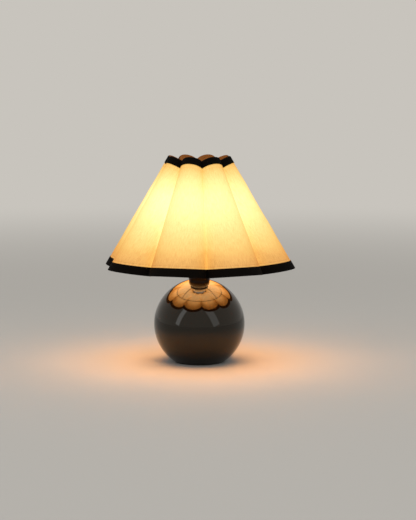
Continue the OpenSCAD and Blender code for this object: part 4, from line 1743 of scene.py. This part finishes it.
@dataclass(frozen=True)
class ShadeFrame:
    """The wire frame that carries the cover: the fitter with its arms, and two rings.

    Attributes:
        plate_t: Thickness of the fitter plate.
        plate_r: Its outer radius.
        hole_r: Radius of its hole.
        rim_edge: Radius on the edges of its rim.
        hole_edge: Radius on the edges of its hole.
        arms: Number of arms.
        arm_bearing: Bearing of the first arm, in degrees.
        arm_start: Distance from the axis at which an arm starts.
        bend_at: Distance from the axis to the bend in an arm.
        bend_r: Radius of that bend.
        weld: How deep the wire is welded into the plate.
        bead: Height and width of the weld beads at the arms' ends.
        butt_bead: Height and width of the bead of a ring's butt weld.
    """

    plate_t: float = 1.2
    plate_r: float = 24.5
    hole_r: float = 20.05
    rim_edge: float = 0.5
    hole_edge: float = 0.4
    arms: int = 3
    arm_bearing: float = 60.0
    arm_start: float = 21.8
    bend_at: float = 34.0
    bend_r: float = 7.0
    weld: float = 0.3
    bead: tuple[float, float] = (0.4, 2.2)
    butt_bead: tuple[float, float] = (0.35, 1.6)

    def ring(self, node: str) -> bpy.types.Object:
        """Make a wire ring with the bead of its butt weld at the back.

        Args:
            node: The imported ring.

        Returns:
            The ring.
        """
        low, high, outer = node_box(node)
        wire_r = (high - low) / 2
        angles = full_turn(240)
        path = [around(a, outer - wire_r, (low + high) / 2) for a in angles]
        bead_h, bead_w = self.butt_bead
        back = math.pi / 2
        radii = [wire_r + bead_h * math.exp(-(((a - back) * outer / bead_w) ** 2)) for a in angles]
        made = wire(f"{node}_coated", path, Vector((0, 0, 1)), radii, loop=True)
        smooth(made, crease=60)
        return made

    def plate(self, low: float) -> bpy.types.Object:
        """Make the stamped fitter plate.

        Args:
            low: Height of its underside.

        Returns:
            The plate.
        """
        high = low + self.plate_t
        rim = [(self.plate_r, low, self.rim_edge), (self.plate_r, high, self.rim_edge)]
        outline = rounded([(self.hole_r, low, self.hole_edge), *rim, (self.hole_r, high, self.hole_edge)])
        made = lathe("fitter_plate_stamped", outline, turns=120)
        smooth(made)
        return made

    def arm(self, number: int, plate_low: float) -> bpy.types.Object:
        """Make one arm, from under the plate out to the lower wire ring.

        Args:
            number: The arm, from 0.
            plate_low: Height of the plate's underside.

        Returns:
            The arm.
        """
        low, high, outer = node_box("lower_wire_ring")
        wire_r = (high - low) / 2
        start = Vector((self.arm_start, plate_low - wire_r + self.weld))
        bend = Vector((self.bend_at, start.y))
        end = Vector((outer - wire_r, (low + high) / 2))
        rise = (end - bend).normalized()
        end = end - rise * (wire_r + PLAY)
        turn = math.atan2(rise.y, rise.x)
        cut = self.bend_r * math.tan(turn / 2)
        centre = Vector((bend.x - cut, bend.y + self.bend_r))
        # Facets of the arm's level stretch, its bend and its rise, and points of the rise under the bead
        level, bent, rising, welded = 6, 12, 20, 4
        points = [start.lerp(Vector((bend.x - cut, start.y)), i / level) for i in range(level)]
        turns = [turn * i / bent for i in range(bent + 1)]
        points += [centre + Vector((math.sin(a), -math.cos(a))) * self.bend_r for a in turns]
        points += [(bend + rise * cut).lerp(end, i / rising) for i in range(1, rising + 1)]
        bearing = self.arm_bearing + 360 * number / self.arms
        path = [by_bearing(bearing, p.x, p.y) for p in points]
        side = by_bearing(bearing + 90, 1, 0).normalized()
        bead_h, bead_w = self.bead
        beads = [bead_h * math.exp(-(((p - end).length / bead_w) ** 2)) for p in points[-welded:]]
        radii = [wire_r] * (len(points) - len(beads)) + [wire_r + bead for bead in beads]
        made = wire(f"fitter_arm_{number + 1}", path, side, radii, loop=False)
        smooth(made, crease=60)
        return made

    def build(self) -> None:
        """Make and fit the frame's pieces."""
        flange_z = node_box("holder_skirt")[0] + Lampholder.flange_up + Lampholder.flange_t
        plate_low = flange_z + PLAY
        fit(self.plate(plate_low), Body.SHADE, COATED_WIRE, "shade_fitter")
        for number in range(self.arms):
            fit(self.arm(number, plate_low), Body.SHADE, COATED_WIRE, "shade_fitter")
        for node in ("lower_wire_ring", "upper_wire_ring"):
            fit(self.ring(node), Body.SHADE, COATED_WIRE, node)


@dataclass(frozen=True)
class Studio:
    """The pale floor, the soft light and the camera.

    Attributes:
        backdrop: Colour of the background and of the far floor.
        floor_colour: Colour of the floor near the lamp.
        floor_z: Height of the floor, a hair under the lamp's felt.
        floor_r: Radius of the floor, in metres.
        fade: Distances between which the floor's own colour gives way to the background's, in metres.
        roughness: How dull the floor is.
        specular: How strongly it reflects.
        sky_level: Level of the light that comes from all round.
        window: Colour of the two upright strips of light, a little cooler than the rest.
        focal_px: Focal length, in pixels of a frame 416 pixels wide.
        frame_px: Width of that frame.
        distance: Distance from the camera to the lamp's axis, in metres.
        camera_z: Height of the camera.
        pitch: How far the camera looks down, in degrees.
        yaw: How far it is turned to the right, in degrees.
        aim_z: Height that the lights face, in metres.
    """

    backdrop: str = "#C8C4BD"
    floor_colour: str = "#B3AFA8"
    floor_z: float = -0.00005
    floor_r: float = 12.0
    fade: tuple[float, float] = (0.5, 3.0)
    roughness: float = 0.9
    specular: float = 0.1
    sky_level: float = 0.6
    window: str = "#E6F0FF"
    focal_px: float = 1518.0
    frame_px: float = 416.0
    distance: float = 2.1
    camera_z: float = 0.3783
    pitch: float = 6.41
    yaw: float = 0.33
    aim_z: float = 0.15

    def floor(self) -> None:
        """Make the floor, which fades into the background far away."""
        points = [around(angle, self.floor_r / MM, self.floor_z / MM) for angle in full_turn(128)]
        made = mesh_object("studio_floor", points, [tuple(range(len(points)))])
        material = bpy.data.materials.new("matte_paper_floor")
        material.use_nodes = True
        tree = material.node_tree
        shader = tree.nodes["Principled BSDF"]
        colour = linear(self.floor_colour)
        plug(shader, {"Base Color": colour, "Roughness": self.roughness, "Specular IOR Level": self.specular})
        place = add_node(tree, "TexCoord").outputs["Object"]
        away = add_node(tree, "VectorMath", {0: place}, operation="LENGTH").outputs["Value"]
        span = {"Value": away, "From Min": self.fade[0], "From Max": self.fade[1]}
        share = add_node(tree, "MapRange", span, interpolation_type="SMOOTHSTEP")
        amount = add_node(tree, "Math", {0: share, 1: self.seen_rays(tree)}, operation="MULTIPLY")
        paper = add_node(tree, "Emission", {"Color": linear(self.backdrop), "Strength": 1.0})
        blend = add_node(tree, "MixShader", {0: amount, 1: shader, 2: paper})
        plug(tree.nodes["Material Output"], {"Surface": blend})
        made.data.materials.append(material)

    def seen_rays(self, tree: bpy.types.NodeTree) -> bpy.types.Node:
        """Tell the rays that show the background from those that light the lamp.

        Args:
            tree: The node tree.

        Returns:
            A node whose value is 1 for camera, glossy and transmission rays, and 0 for the others.
        """
        rays = add_node(tree, "LightPath").outputs
        first = {0: rays["Is Camera Ray"], 1: rays["Is Glossy Ray"]}
        either = add_node(tree, "Math", first, operation="MAXIMUM")
        return add_node(tree, "Math", {0: either, 1: rays["Is Transmission Ray"]}, operation="MAXIMUM")

    def sky(self) -> None:
        """Light the studio evenly from all round, against a pale background."""
        world = bpy.data.worlds.new("studio_air")
        world.use_nodes = True
        bpy.context.scene.world = world
        tree = world.node_tree
        soft = tree.nodes["Background"]
        plug(soft, {"Color": linear("#FFFFFF"), "Strength": self.sky_level})
        pale = add_node(tree, "Background", {"Color": linear(self.backdrop), "Strength": 1.0})
        blend = add_node(tree, "MixShader", {0: self.seen_rays(tree), 1: soft, 2: pale})
        plug(tree.nodes["World Output"], {"Surface": blend})

    def softbox(
        self, name: str, place: Vector, size: tuple[float, float], level: float, lean: float = 0.0
    ) -> bpy.types.Light:
        """Hang a soft box that faces the lamp.

        Args:
            name: The light's name.
            place: Its middle, in metres.
            size: Its width and height, in metres.
            level: How bright it looks, where 1 is white.
            lean: How far it leans, in degrees, clockwise as the lamp sees it.

        Returns:
            The light.
        """
        data = bpy.data.lights.new(name, "AREA")
        data.shape = "RECTANGLE"
        data.size, data.size_y = size
        data.energy = level * math.pi * data.size * data.size_y
        made = bpy.data.objects.new(name, data)
        made.location = place
        aim = Vector((0, 0, self.aim_z)) - made.location
        roll = Quaternion((0, 0, 1), math.radians(lean))
        made.rotation_euler = (aim.to_track_quat("-Z", "Y") @ roll).to_euler()
        bpy.context.scene.collection.objects.link(made)
        return data

    def camera(self) -> None:
        """Place the camera at the photographed angle."""
        data = bpy.data.cameras.new("camera")
        data.sensor_fit = "HORIZONTAL"
        data.lens = data.sensor_width * self.focal_px / self.frame_px
        made = bpy.data.objects.new("camera", data)
        made.location = (0, -self.distance, self.camera_z)
        made.rotation_euler = (math.radians(90 - self.pitch), 0, math.radians(-self.yaw))
        bpy.context.scene.collection.objects.link(made)
        bpy.context.scene.camera = made

    def build(self) -> None:
        """Make the whole studio."""
        self.camera()
        self.floor()
        self.sky()
        self.softbox("top_softbox", Vector((0, -0.4, 2.2)), size=(2.0, 2.0), level=1.7)
        left = self.softbox("left_strip", by_bearing(-50, 1700, 780), size=(0.35, 1.5), level=1.5, lean=-18)
        right = self.softbox("right_strip", by_bearing(36, 1800, 800), size=(0.6, 1.6), level=0.85, lean=20)
        left.color = right.color = linear(self.window)[:3]
        bpy.context.scene.view_settings.view_transform = "Standard"


def main() -> None:
    """Build the lamp and its studio."""
    logging.basicConfig(level=logging.INFO, format="%(message)s")
    Studio().build()
    bulb = Bulb()
    BallBase().build()
    Lampholder().build(bulb.shell_thread(), bulb.shell_middle())
    RetainingRing().build()
    bulb.build()
    ShadeFrame().build()
    PetalCover().build()


if __name__ == "__main__":
    main()
